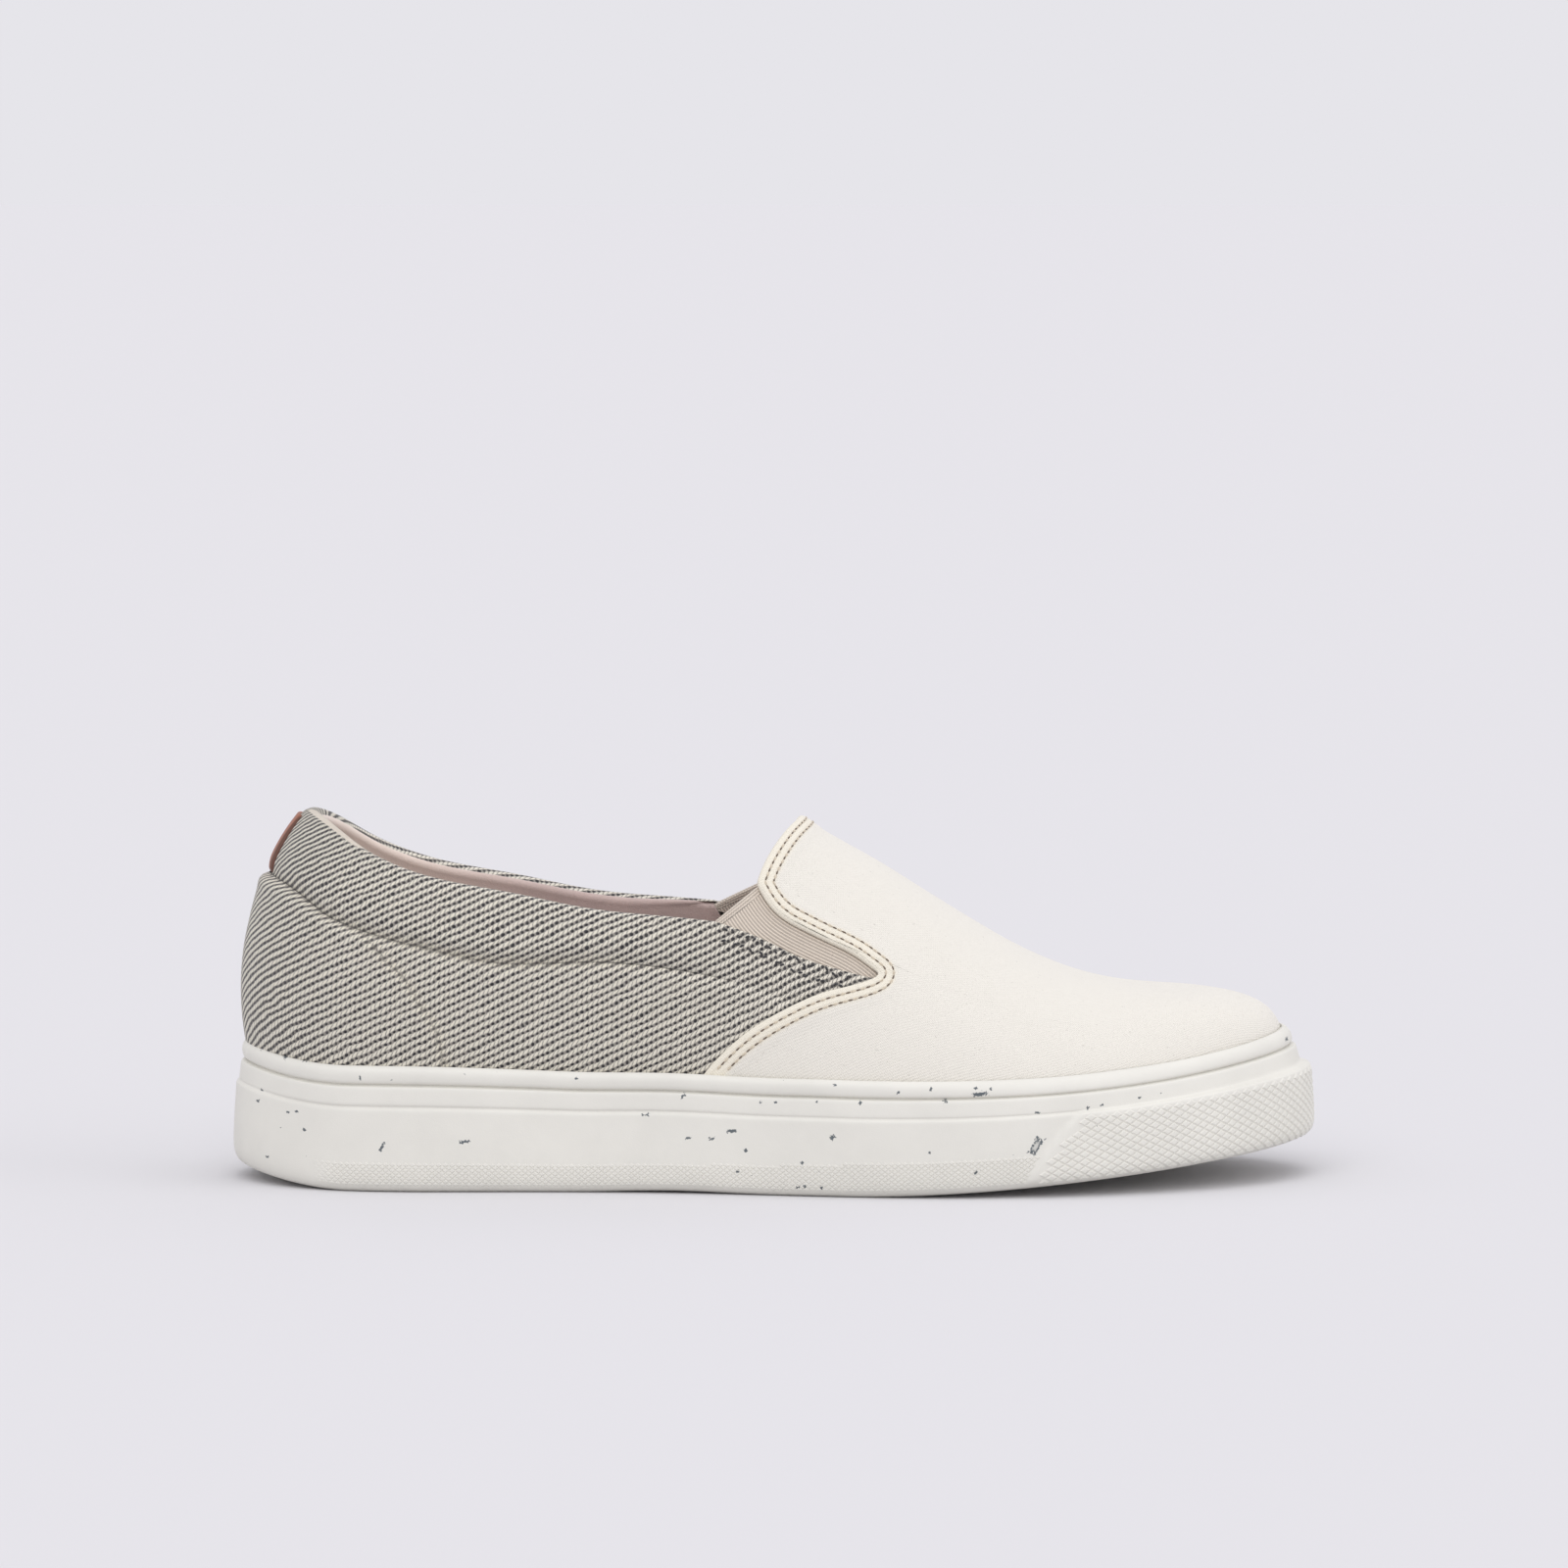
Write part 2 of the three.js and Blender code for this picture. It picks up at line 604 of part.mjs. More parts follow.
function makeCupsole() {
  const bumper = soleForm(bumperStep).intersect(sidePrism(bumperOutline()));
  const vampRoom = lastForm(() => panelStep + gap, gap).intersect(sidePrism(grown(vampOutline(), gap)));
  return soleForm(0)
    .add(bumper)
    .subtract(lastForm(() => gap, gap).add(vampRoom));
}

function makeInsole() {
  const layer = (inset, lift) => {
    const ring = [];
    for (let i = 0; i < 2 * stations; i++) {
      const foot = feather(turnAt(i));
      const out = outward(turnAt(i));
      const z = platformHeight(foot.at) + lift;
      ring.push(new THREE.Vector3(foot.x - out.x * inset, foot.y - out.y * inset, z));
    }
    return ring;
  };
  const edge = upperWall + 2 * gap;
  const rings = [
    layer(edge, gap),
    layer(edge, gap + insoleThickness - insoleBevel),
    layer(edge + insoleBevel, gap + insoleThickness),
  ];
  return closedStack(rings, true);
}

const finishes = {
  cupsole: { color: 0xdedcd5, roughness: 0.62 },
  upper: { color: 0xeeeae0, roughness: 0.9 },
  gore: { color: 0xb9afa6, roughness: 0.85 },
  tab: { color: 0x9c6450, roughness: 0.6 },
  insole: { color: 0xb8a49f, roughness: 0.9 },
};

function named(name, solid, finish) {
  const material = new THREE.MeshStandardMaterial({ ...finishes[finish], metalness: 0 });
  const mesh = new THREE.Mesh(geometryFromSolid(solid), material);
  mesh.name = name;
  return mesh;
}

const cupsole = named("cupsole", makeCupsole(), "cupsole");
const shoe = new THREE.Group();
shoe.add(
  cupsole,
  named("upper", makeUpper(), "upper"),
  named("gore_lateral", makeGore(-1), "gore"),
  named("gore_medial", makeGore(1), "gore"),
  named("heel_tab", makeHeelTab(), "tab"),
  named("insole", makeInsole(), "insole"),
);

// The origin goes to the middle of the sole's outline, on the floor
const middle = new THREE.Box3().setFromObject(cupsole).getCenter(new THREE.Vector3());
shoe.position.set(-middle.x, -middle.y, 0);

export default shoe;
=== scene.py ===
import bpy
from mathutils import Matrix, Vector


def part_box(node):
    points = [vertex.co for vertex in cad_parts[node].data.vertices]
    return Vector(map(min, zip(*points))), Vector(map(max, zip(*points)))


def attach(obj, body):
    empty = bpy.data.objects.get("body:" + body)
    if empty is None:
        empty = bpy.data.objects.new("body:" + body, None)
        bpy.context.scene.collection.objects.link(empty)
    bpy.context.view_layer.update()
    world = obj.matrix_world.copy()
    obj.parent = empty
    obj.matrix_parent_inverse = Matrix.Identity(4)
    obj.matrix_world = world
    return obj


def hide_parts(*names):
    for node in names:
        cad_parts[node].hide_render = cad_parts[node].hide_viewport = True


bl_info = {
    "name": "Slip-on sneaker",
    "version": (1, 0, 0),
    "blender": (4, 5, 0),
    "location": "3D View > Sidebar > Shoe",
    "description": "Builds the looks of a slip-on sneaker over its packed frame",
    "category": "Object",
}

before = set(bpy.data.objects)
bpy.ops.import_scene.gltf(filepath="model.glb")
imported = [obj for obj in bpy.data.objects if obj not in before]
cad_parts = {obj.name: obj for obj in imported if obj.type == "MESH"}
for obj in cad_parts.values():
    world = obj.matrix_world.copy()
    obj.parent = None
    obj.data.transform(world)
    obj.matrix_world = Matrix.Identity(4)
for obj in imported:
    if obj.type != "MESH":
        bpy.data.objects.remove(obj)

import math
from functools import partial
from types import SimpleNamespace

import bpy
import numpy as np
from bpy.props import FloatProperty, FloatVectorProperty, PointerProperty
from mathutils import Vector

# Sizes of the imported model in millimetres, with the names that its source uses
LAST_LENGTH = 274.7
BALL_WIDTH = 93
THROAT_HEIGHT = 94.4
TOE_BOX_HEIGHT = 49.2
HEEL_HEIGHT = 100.8
COLLAR_HEIGHT = 71.7
UPPER_WALL = 2.2
PANEL_STEP = 0.9
COLLAR_STEP = 1.1
COLLAR_PUFF = 1.3
COLLAR_ROLL = 5.6
GORE_DEPTH = 1.0
TAB_WIDTH = 12
TAB_THICKNESS = 1.4
INSOLE_THICKNESS = 5
SIDEWALL_HEIGHT = 31.5
HEEL_STACK = 19
FORE_STACK = 10.5
BODY_FLARE = 6.9
RIM_LIP = 1.4
BUMPER_STEP = 0.8
TOE_SPRING = 10.2
HEEL_SPRING = 4
ARCH_LIFT = 0.6
GAP = 0.3
HEEL_PIVOT = 0.137
TOE_PIVOT = 0.85
PIVOT_SOFTNESS = 0.029
BELLY_DROP = 0.5
HEEL_LIFT_FROM = 0.095
TOE_LIFT_FROM = 0.58
ARCH_FROM = 0.3
ARCH_TO = 0.515


def table(names, rows):
    """A table as one array for each named column."""
    return dict(zip(names.split(), np.array(rows, float).T))


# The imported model's tables: at is a share of the last's length
PLAN = table("at lateral medial", [
    (0, 0, 0), (0.0291, 0.205, 0.205), (0.0999, 0.325, 0.325), (0.1809, 0.35, 0.342),
    (0.3023, 0.355, 0.325), (0.4237, 0.388, 0.322), (0.5553, 0.455, 0.385), (0.6464, 0.492, 0.458),
    (0.7273, 0.485, 0.5), (0.8083, 0.435, 0.49), (0.8893, 0.335, 0.43), (0.9601, 0.185, 0.315),
    (1, -0.075, 0.075),
])
LAST = table("at rise side round swell", [
    (0, 1.4, 0, 2.45, 0.066), (0.1404, 1.4, 0, 2.42, 0.055), (0.2821, 1.4, 0.015, 2.4, 0.036),
    (0.3833, 1.38, 0.03, 2.25, 0.03), (0.4541, 1.3, 0.038, 2.12, 0.028), (0.4946, 1.16, 0.042, 2.06, 0.028),
    (0.534, 1, 0.046, 2.03, 0.028), (0.5634, 0.892, 0.048, 2, 0.028), (0.5998, 0.765, 0.05, 2, 0.028),
    (0.6363, 0.63, 0.052, 2.02, 0.028), (0.6737, 0.487, 0.054, 2.07, 0.026), (0.7223, 0.307, 0.056, 2.18, 0.023),
    (0.7628, 0.184, 0.058, 2.3, 0.02), (0.7992, 0.097, 0.06, 2.45, 0.016), (0.8366, 0.042, 0.062, 2.6, 0.012),
    (0.8731, 0.013, 0.065, 3, 0.009), (0.9095, 0, 0.068, 3.6, 0.006), (1, -0.03, 0.075, 5, 0),
])
SOLE = table("at wall flare stack", [
    (0, 1.04, 1, 0.95), (0.1404, 1.06, 0.95, 1), (0.3225, 1.01, 0.86, 0.82), (0.4541, 0.985, 0.85, 0.5),
    (0.6059, 0.968, 0.86, 0.14), (0.7476, 0.905, 0.86, 0), (0.8943, 0.885, 0.98, 0), (1, 0.93, 1.1, 0),
])
COLLAR = table("at high", [
    (-0.1, 1), (0.0432, 1), (0.0766, 0.83), (0.0979, 0.705), (0.1313, 0.55), (0.1677, 0.43),
    (0.2041, 0.35), (0.2547, 0.26), (0.2983, 0.17), (0.3347, 0.11), (0.3893, 0.06), (0.444, 0),
])
BAND = table("at high", [
    (-0.1, 1.16), (0.0088, 1.145), (0.0453, 1.08), (0.0695, 1.017), (0.0948, 0.976), (0.1495, 0.916),
    (0.1869, 0.883), (0.2254, 0.85), (0.2719, 0.841), (0.3529, 0.843), (0.4075, 0.819), (0.4713, 0.77),
    (0.5249, 0.7), (0.61, 0.6),
])
THROAT = table("at high", [
    (0.4885, 0.858), (0.4898, 0.872), (0.4932, 0.896), (0.4985, 0.925), (0.505, 0.953), (0.514, 0.984),
    (0.5235, 1.006), (0.5337, 1.02), (0.552, 1.05),
])
GORE_FRONT = table("at high", [
    (0.4885, 0.858), (0.491, 0.838), (0.4965, 0.812), (0.505, 0.783), (0.5126, 0.765), (0.5338, 0.731),
    (0.5571, 0.699), (0.5828, 0.661), (0.597, 0.632), (0.6029, 0.618),
])
GORE_BACK = table("at high", [
    (0.444, 0.7595), (0.4905, 0.7107), (0.527, 0.6613), (0.5637, 0.6283), (0.5826, 0.6139), (0.62, 0.59),
])
VAMP_FOOT = table("at high", [
    (0.4136, 0.1545), (0.4389, 0.3368), (0.4537, 0.3852), (0.4723, 0.4347), (0.4996, 0.4882),
    (0.527, 0.5294), (0.5634, 0.5655), (0.6029, 0.618),
])
VAMP_START = 0.4389
GORE_CORNER = 0.444
QUARTER_END = 0.56
BAND_END = 0.605

# The sidewall from floor to rim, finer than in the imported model. follow is 0 on the rim's outline,
# 1 on the cup wall's and 2 on the foot's.
SIDEWALL = table("up follow out bumper", [
    (0, 2, -3.2, 0), (0.012, 2, -2, 0), (0.035, 2, -1.1, 0.2), (0.07, 2, -0.45, 0.8), (0.12, 2, -0.1, 1),
    (0.2, 2, 0, 1), (0.42, 2, -0.35, 1), (0.6, 2, -0.75, 1), (0.648, 2, -0.85, 1), (0.664, 2, -1.1, 0.9),
    (0.674, 1.85, -1.15, 0.6), (0.685, 1.6, -0.6, 0.2), (0.693, 1.47, -0.12, 0), (0.706, 1.39, 0.08, 0),
    (0.722, 1.345, 0.15, 0),
    (0.77, 1.26, 0.2, 0), (0.823, 1.17, 0.2, 0), (0.836, 1.14, 0, 0), (0.843, 1.1, -0.9, 0),
    (0.851, 1.02, -1, 0), (0.858, 0.95, -0.25, 0), (0.88, 0.8, 0.3, 0), (0.925, 0.5, 0.5, 0),
    (0.965, 0.2, 0.3, 0), (0.99, 0.05, -0.35, 0), (1, 0, -0.85, 0),
])
BUMPER_EDGE = table("up at", [(0, 0.737), (0.24, 0.75), (0.41, 0.764), (0.55, 0.777), (0.69, 0.792)])

# The large dark shards in the rubber, from the shoe's middle and the floor, in millimetres and degrees
SHARDS = table("x z long wide lean", [
    (-103.2, 12.3, 2.8, 0.8, 62), (-81.6, 13.6, 2.6, 0.9, 8), (-11.1, 17, 2.6, 1, 5), (15.3, 16, 1.5, 1.2, 40),
    (68.4, 13.8, 4.9, 2.2, 58), (53.8, 27.5, 3.8, 1.1, 8), (44.6, 25.6, 1.1, 0.9, 20), (41, 28.8, 1.2, 0.8, 70),
    (22.5, 25, 1, 0.8, 50), (68.8, 22.6, 1.3, 0.7, 0), (-3.7, 24.6, 1, 0.8, 60), (-24, 26, 1.6, 1, 30),
    (-16.4, 14.9, 1.5, 0.7, 5), (-22.6, 14.9, 1.5, 0.6, 5), (-33.9, 20.8, 2, 0.7, 5), (-52.2, 30.3, 0.9, 0.7, 30),
    (-7.6, 12, 0.8, 0.8, 45), (-129.2, 34.8, 1.5, 1.2, 40), (15.9, 29.6, 0.9, 0.6, 0), (32.3, 27.8, 0.8, 0.7, 0),
    (52.7, 29, 0.8, 0.7, 40), (56.6, 28.9, 0.9, 0.7, -40), (0.3, 24.7, 0.8, 0.6, 0), (11, 25.1, 0.9, 0.6, 0),
    (7.3, 9, 1, 0.6, -40), (40.6, 12.4, 1, 0.6, 70), (52.7, 7.2, 1.3, 0.6, 45), (6.2, 2.6, 0.9, 0.6, 0),
    (8, 2.9, 0.7, 0.7, 45), (12.3, 2.7, 0.8, 0.6, 60), (-9.6, 6.5, 0.8, 0.7, 0), (82, 23.4, 0.8, 0.7, 60),
    (85.8, 24.1, 1, 0.5, 10), (96, 25.6, 0.9, 0.7, 20), (137, 36.9, 0.9, 0.9, 0),
    (-124.1, 34.3, 1, 0.9, 0), (-109, 30.2, 1.3, 0.6, 90), (-137.1, 22.3, 1, 0.8, 60), (-126.2, 20.6, 0.9, 0.6, 0),
    (-128.7, 20.2, 0.8, 0.6, 0), (-124.1, 16, 1, 0.6, -30), (-136, 25.2, 0.9, 0.6, 0), (-134.3, 7.9, 1.2, 0.6, 0),
])

# The counter's front seam in side view, and the folds that wear and lasting leave in the cloth.
# side is -1 outside and 1 inside, x and z are in millimetres from the heel and the floor.
COUNTER_SEAM = table("x z", [
    (29, 69), (31.5, 66), (36, 61), (41, 56), (45, 49), (49, 43), (50.5, 36.6), (51.5, 31), (52, 26),
])
FOLDS = table("side x z reach slope width depth", [
    (-1, 60, 60.5, 26, -8, 2.2, 0.55), (-1, 84, 61.5, 18, 4, 1.8, 0.35), (-1, 47, 64, 10, -30, 1.6, 0.35),
    (-1, 112, 47, 24, 12, 3.2, 0.3), (-1, 76, 44, 20, 20, 3.4, 0.25), (-1, 178, 60, 16, -52, 3.2, 0.35),
    (-1, 196, 46, 24, -36, 3.6, 0.3), (1, 58, 61, 24, -6, 2.2, 0.5), (1, 92, 56, 20, 10, 2.6, 0.35),
    (1, 120, 46, 26, 14, 3.4, 0.3), (1, 182, 58, 18, -50, 3.4, 0.35), (1, 200, 45, 24, -34, 3.6, 0.3),
])

# How the vamp's folded edge swells between its stitch rows: millimetres from the edge, and lift
EDGE_RELIEF = table("away lift", [
    (0, -0.15), (0.35, 0.12), (0.8, 0.24), (1.15, 0.1), (1.4, 0), (1.7, 0.1), (2.5, 0.26), (3.2, 0.1),
    (3.5, 0), (3.8, 0.06), (4.6, 0.1), (5.4, 0.04), (6.3, -0.1), (7.2, -0.2), (8.5, -0.22),
])

# Sizes of the looks alone, in millimetres. A real canvas thread is half as wide, too fine to show here.
# INNER_AHEAD is how much further forward the inner throat edge lies, and HEM_ANGLE how far round the
# collar's roll the twill reaches before the lining takes over.
INNER_AHEAD = 4.4
HEM_ANGLE = math.radians(132)
CANVAS_THREADS = 0.95
ELASTIC_PICKS = 0.55
HOLLOW_SHARD = 1.5
GORE_THICKNESS = 1.7
EDGE_ROLL = 0.55
HEEL_DRAWN_IN = 1.4
MM = 0.001


def natural(x, y):
    """The natural cubic spline through the points (x, y): bends solve the usual three-term system."""
    count = len(x)
    width = np.diff(x)
    inner = np.arange(1, count - 1)
    system = np.eye(count)
    system[inner, inner - 1] = width[:-1]
    system[inner, inner] = 2 * (width[:-1] + width[1:])
    system[inner, inner + 1] = width[1:]
    slope = np.diff(y) / width
    right = np.zeros(count)
    right[1:-1] = 6 * np.diff(slope)
    bend = np.linalg.solve(system, right)

    def curve(at):
        i = np.clip(np.searchsorted(x, at) - 1, 0, count - 2)
        p = (x[i + 1] - at) / width[i]
        q = 1 - p
        return p * y[i] + q * y[i + 1] + ((p**3 - p) * bend[i] + (q**3 - q) * bend[i + 1]) * width[i] ** 2 / 6

    return curve


PLAN_ANGLE = np.arccos(1 - 2 * PLAN["at"])
lateral_width = natural(PLAN_ANGLE, PLAN["lateral"])
medial_width = natural(PLAN_ANGLE, PLAN["medial"])
last_curve = {name: natural(LAST["at"], LAST[name]) for name in ("rise", "side", "round", "swell")}
sole_curve = {name: natural(SOLE["at"], SOLE[name]) for name in ("wall", "flare", "stack")}
collar_curve = natural(COLLAR["at"], COLLAR["high"])
band_curve = natural(BAND["at"], BAND["high"])
gore_back_curve = natural(GORE_BACK["at"], GORE_BACK["high"])

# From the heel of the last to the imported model's origin
TAB_LOW, TAB_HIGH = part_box("heel_tab")
SHIFT = np.array([
    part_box("cupsole")[0][0] / MM + BODY_FLARE * sole_curve["flare"](0.0), (TAB_LOW[1] + TAB_HIGH[1]) / 2 / MM, 0,
])


def mix(a, b, share):
    """Between a and b by a share."""
    return a + (b - a) * share


def smooth(value):
    """A soft step: 0 up to 0, 1 from 1, with level ends."""
    value = np.clip(value, 0, 1)
    return value**2 * (3 - 2 * value)


def bell(value):
    """A bell that is 1 at 0 and falls with the square of the distance."""
    return np.exp(-(value**2))


def unit(vectors):
    return vectors / np.maximum(np.linalg.norm(vectors, axis=-1, keepdims=True), 1e-12)


def crown_height(at):
    """The last's highest line, between the toe box and the throat."""
    return mix(TOE_BOX_HEIGHT, THROAT_HEIGHT, last_curve["rise"](at))


def ground_height(at):
    """The sole's underside: powers of the distance from the flat give heel and toe spring, a sine the arch."""
    heel = HEEL_SPRING * np.clip((HEEL_LIFT_FROM - at) / HEEL_LIFT_FROM, 0, 1) ** 1.6
    toe = TOE_SPRING * np.clip((at - TOE_LIFT_FROM) / (1 - TOE_LIFT_FROM), 0, 1) ** 1.5
    arch = np.clip((at - ARCH_FROM) / (ARCH_TO - ARCH_FROM), 0, 1)
    return heel + toe + ARCH_LIFT * np.sin(np.pi * arch) ** 2


def platform_height(at):
    """Where the foot stands: the underside and the sole's thickness."""
    return ground_height(at) + mix(FORE_STACK, HEEL_STACK, sole_curve["stack"](at))


def wall_height(at):
    return SIDEWALL_HEIGHT * sole_curve["wall"](at)


def rim_height(at):
    return ground_height(at) + wall_height(at)


def collar_top(at):
    """The collar's top, between its lowest height and the heel's."""
    return mix(COLLAR_HEIGHT, HEEL_HEIGHT, np.clip(collar_curve(at), 0, 1))


def band_seam(at):
    """The seam between the quarter and the padded band."""
    return COLLAR_HEIGHT * band_curve(np.minimum(at, 0.61))


def quarter_top(at):
    """The quarter's upper edge: the collar, and ahead of its corner the edge along the gore."""
    return np.where(at < GORE_CORNER, collar_top(at), THROAT_HEIGHT * gore_back_curve(at))


def feather(turn):
    """The feather line: turn is 0 at the heel, pi at the toe by the outer side, and back inside."""
    turn = np.mod(turn, 2 * np.pi)
    inner = turn > np.pi
    angle = np.where(inner, 2 * np.pi - turn, turn)
    at = (1 - np.cos(angle)) / 2
    width = np.where(inner, medial_width(angle), -lateral_width(angle))
    return at, at * LAST_LENGTH, width * BALL_WIDTH


def outward(turn):
    """The level direction outwards, square to the feather line."""
    step = 1e-4
    _, ax, ay = feather(turn - step)
    _, bx, by = feather(turn + step)
    return unit(np.stack([by - ay, ax - bx], -1))


def spine_at(at):
    """Where a rib ends on the crown: two soft hinges keep the ends of the shoe round."""
    raised = HEEL_PIVOT + PIVOT_SOFTNESS * np.log1p(np.exp((at - HEEL_PIVOT) / PIVOT_SOFTNESS))
    return TOE_PIVOT - PIVOT_SOFTNESS * np.log1p(np.exp((TOE_PIVOT - raised) / PIVOT_SOFTNESS))


def last_point(turn, up):
    """A point of the last: a superellipse rib from the feather line (up 0) to the crown (up 1), with a
    belly that is a sine of the rise."""
    at, foot_x, foot_y = feather(turn)
    spine = spine_at(at)
    spine_y = last_curve["side"](spine) * BALL_WIDTH
    power = last_curve["round"](at)
    angle = np.clip(up, 0, 1) * np.pi / 2
    cosine, sine = np.abs(np.cos(angle)), np.sin(angle)
    size = (cosine**power + sine**power) ** (1 / power)
    rise = sine / size
    away_x, away_y = foot_x - spine * LAST_LENGTH, foot_y - spine_y
    belly_rise = rise * (1 + BELLY_DROP) / (1 + BELLY_DROP * rise)
    swell = last_curve["swell"](at) * BALL_WIDTH * np.sin(np.pi * belly_rise)
    share = cosine / size + swell / np.hypot(away_x, away_y)
    x = spine * LAST_LENGTH + away_x * share
    y = spine_y + away_y * share
    z = mix(platform_height(at) + GAP, crown_height(x / LAST_LENGTH), rise)
    return np.stack([x, y, z], -1)


def last_frame(turn, up):
    """Point, outward normal and upward direction of the last, from its slopes."""
    step = 1e-3
    turn, up = np.broadcast_arrays(turn, up)
    point = last_point(turn, up)
    around = last_point(turn + step, up) - last_point(turn - step, up)
    along = last_point(turn, np.minimum(1, up + step)) - last_point(turn, np.maximum(0, up - step))
    normal = np.cross(around, along)
    normal[up <= 0, 2] = 0
    at = spine_at(feather(turn)[0])
    slope = (crown_height(at + step) - crown_height(at - step)) / (2 * step * LAST_LENGTH)
    crown = np.stack([-slope, np.zeros_like(slope), np.ones_like(slope)], -1)
    normal = unit(np.where((up >= 1)[..., None], crown, normal))
    return point, normal, unit(np.cross(normal, np.cross(along, normal)))


def up_at(turn, height):
    """How far up a rib a height curve crosses it, by halving. The curve is a function of at."""
    low = np.zeros(np.shape(turn))
    high = np.ones(np.shape(turn))
    for _ in range(28):
        middle = (low + high) / 2
        point = last_point(turn, middle)
        below = point[..., 2] < height(point[..., 0] / LAST_LENGTH)
        low = np.where(below, middle, low)
        high = np.where(below, high, middle)
    return (low + high) / 2


def on_last(x, z, inner):
    """The turn and up of the last's point that is seen at (x, z) from the side."""
    at = np.clip(x / LAST_LENGTH, 0.002, 0.998)
    for _ in range(5):
        angle = np.arccos(1 - 2 * at)
        turn = 2 * np.pi - angle if inner else angle
        up = up_at(turn, lambda _: z)
        at = np.clip(at + (x - last_point(turn, up)[..., 0]) / LAST_LENGTH, 0.002, 0.998)
    return turn, up


def folds(point, side):
    """Soft troughs with a ridge above each: bells across and along the fold's line."""
    lift = np.zeros(point.shape[:-1])
    for fold_side, x, z, reach, slope, width, depth in zip(*FOLDS.values()):
        tilt = math.radians(slope)
        dx, dz = point[..., 0] - x, point[..., 2] - z
        along = (dx * math.cos(tilt) + dz * math.sin(tilt)) / reach
        across = (dz * math.cos(tilt) - dx * math.sin(tilt)) / width
        shape = 0.6 * bell(across - 1.5) - bell(across)
        lift += np.where(side * fold_side > 0, depth * shape * bell(along), 0)
    return lift


def drift(point, size, amount):
    """A slow waviness as three sine waves, so that no cloth face is perfectly even."""
    x, y, z = (point[..., i] / size for i in range(3))
    waves = np.sin(x * 2.1 + z * 1.3) + np.sin(z * 2.9 - x * 0.8 + y) + np.sin(y * 1.7 + x * 3.3 + 1)
    return amount * waves / 3


def distance_to(points, path):
    """The distance from each point to the nearest sample of a path."""
    flat = points.reshape(-1, points.shape[-1])
    result = np.empty(len(flat))
    for start in range(0, len(flat), 8000):
        part = flat[start:start + 8000]
        square = (part**2).sum(-1)[:, None] + (path**2).sum(-1) - 2 * part @ path.T
        result[start:start + 8000] = np.sqrt(np.maximum(square.min(1), 0))
    return result.reshape(points.shape[:-1])


def arc_along(points, axis):
    """Arc length along one axis of a grid of points, from 0."""
    steps = np.linalg.norm(np.diff(points, axis=axis), axis=-1)
    start = np.zeros_like(np.take(steps, [0], axis=axis))
    return np.concatenate([start, np.cumsum(steps, axis=axis)], axis=axis)


def along_path(place, arc, path):
    """The points of a path at some arc lengths."""
    return np.stack([np.interp(place, arc, column) for column in path.T], -1)


def over_crown(outer, inner):
    """One run over the crown from an outer and an inner run that both end on it."""
    return np.concatenate([outer, inner[-2::-1]])


def round_heel(at_end, count):
    """From the inner side at at_end round the heel to the outer side: signed turns, turns, sides, at."""
    end = math.acos(1 - 2 * at_end)
    signed = np.linspace(-end, end, count)
    turn = np.mod(signed, 2 * np.pi)
    return signed, turn, -np.sign(signed), feather(turn)[0]


def arc_from_heel(points, signed):
    """Arc length round the shoe, 0 at the heel's middle."""
    arc = arc_along(points, 0)
    return arc - np.interp(0, signed, arc)


def grid_faces(rows, columns, ring=False):
    """Quads of a grid, row by row. A ring's last column joins its first."""
    index = np.arange(rows * columns).reshape(rows, columns)
    if ring:
        index = np.hstack([index, index[:, :1]])
    corners = [index[:-1, :-1], index[:-1, 1:], index[1:, 1:], index[1:, :-1]]
    return np.stack([corner.ravel() for corner in corners], -1)


def repeated(pattern, points, count):
    """The faces of count like shapes that have the given number of points each."""
    return (np.arange(count)[:, None, None] * points + pattern).reshape(-1, 4)


def ladder_faces(ring, rungs, first, upwards):
    """Quads that close a ring of an even count, whose point i faces point count - i, by rungs. The
    points between the two sides start at index first."""
    count = len(ring)
    half = count // 2
    stations = np.arange(1, half)
    inner = first + np.arange((half - 1) * (rungs - 1)).reshape(half - 1, rungs - 1)
    rows = np.hstack([ring[stations][:, None], inner, ring[count - stations][:, None]])
    rows = np.vstack([np.full((1, rungs + 1), ring[0]), rows, np.full((1, rungs + 1), ring[half])])
    corners = [rows[:-1, :-1], rows[1:, :-1], rows[1:, 1:], rows[:-1, 1:]]
    if not upwards:
        corners = corners[::-1]
    return np.stack([corner.ravel() for corner in corners], -1)


def ladder_points(ring, rungs):
    """Points between the two sides of a ring, evenly along each rung."""
    half = len(ring) // 2
    stations = np.arange(1, half)
    share = (np.arange(1, rungs) / rungs)[:, None]
    left, right = ring[stations][:, None], ring[len(ring) - stations][:, None]
    return mix(left, right, share).reshape(-1, 3)


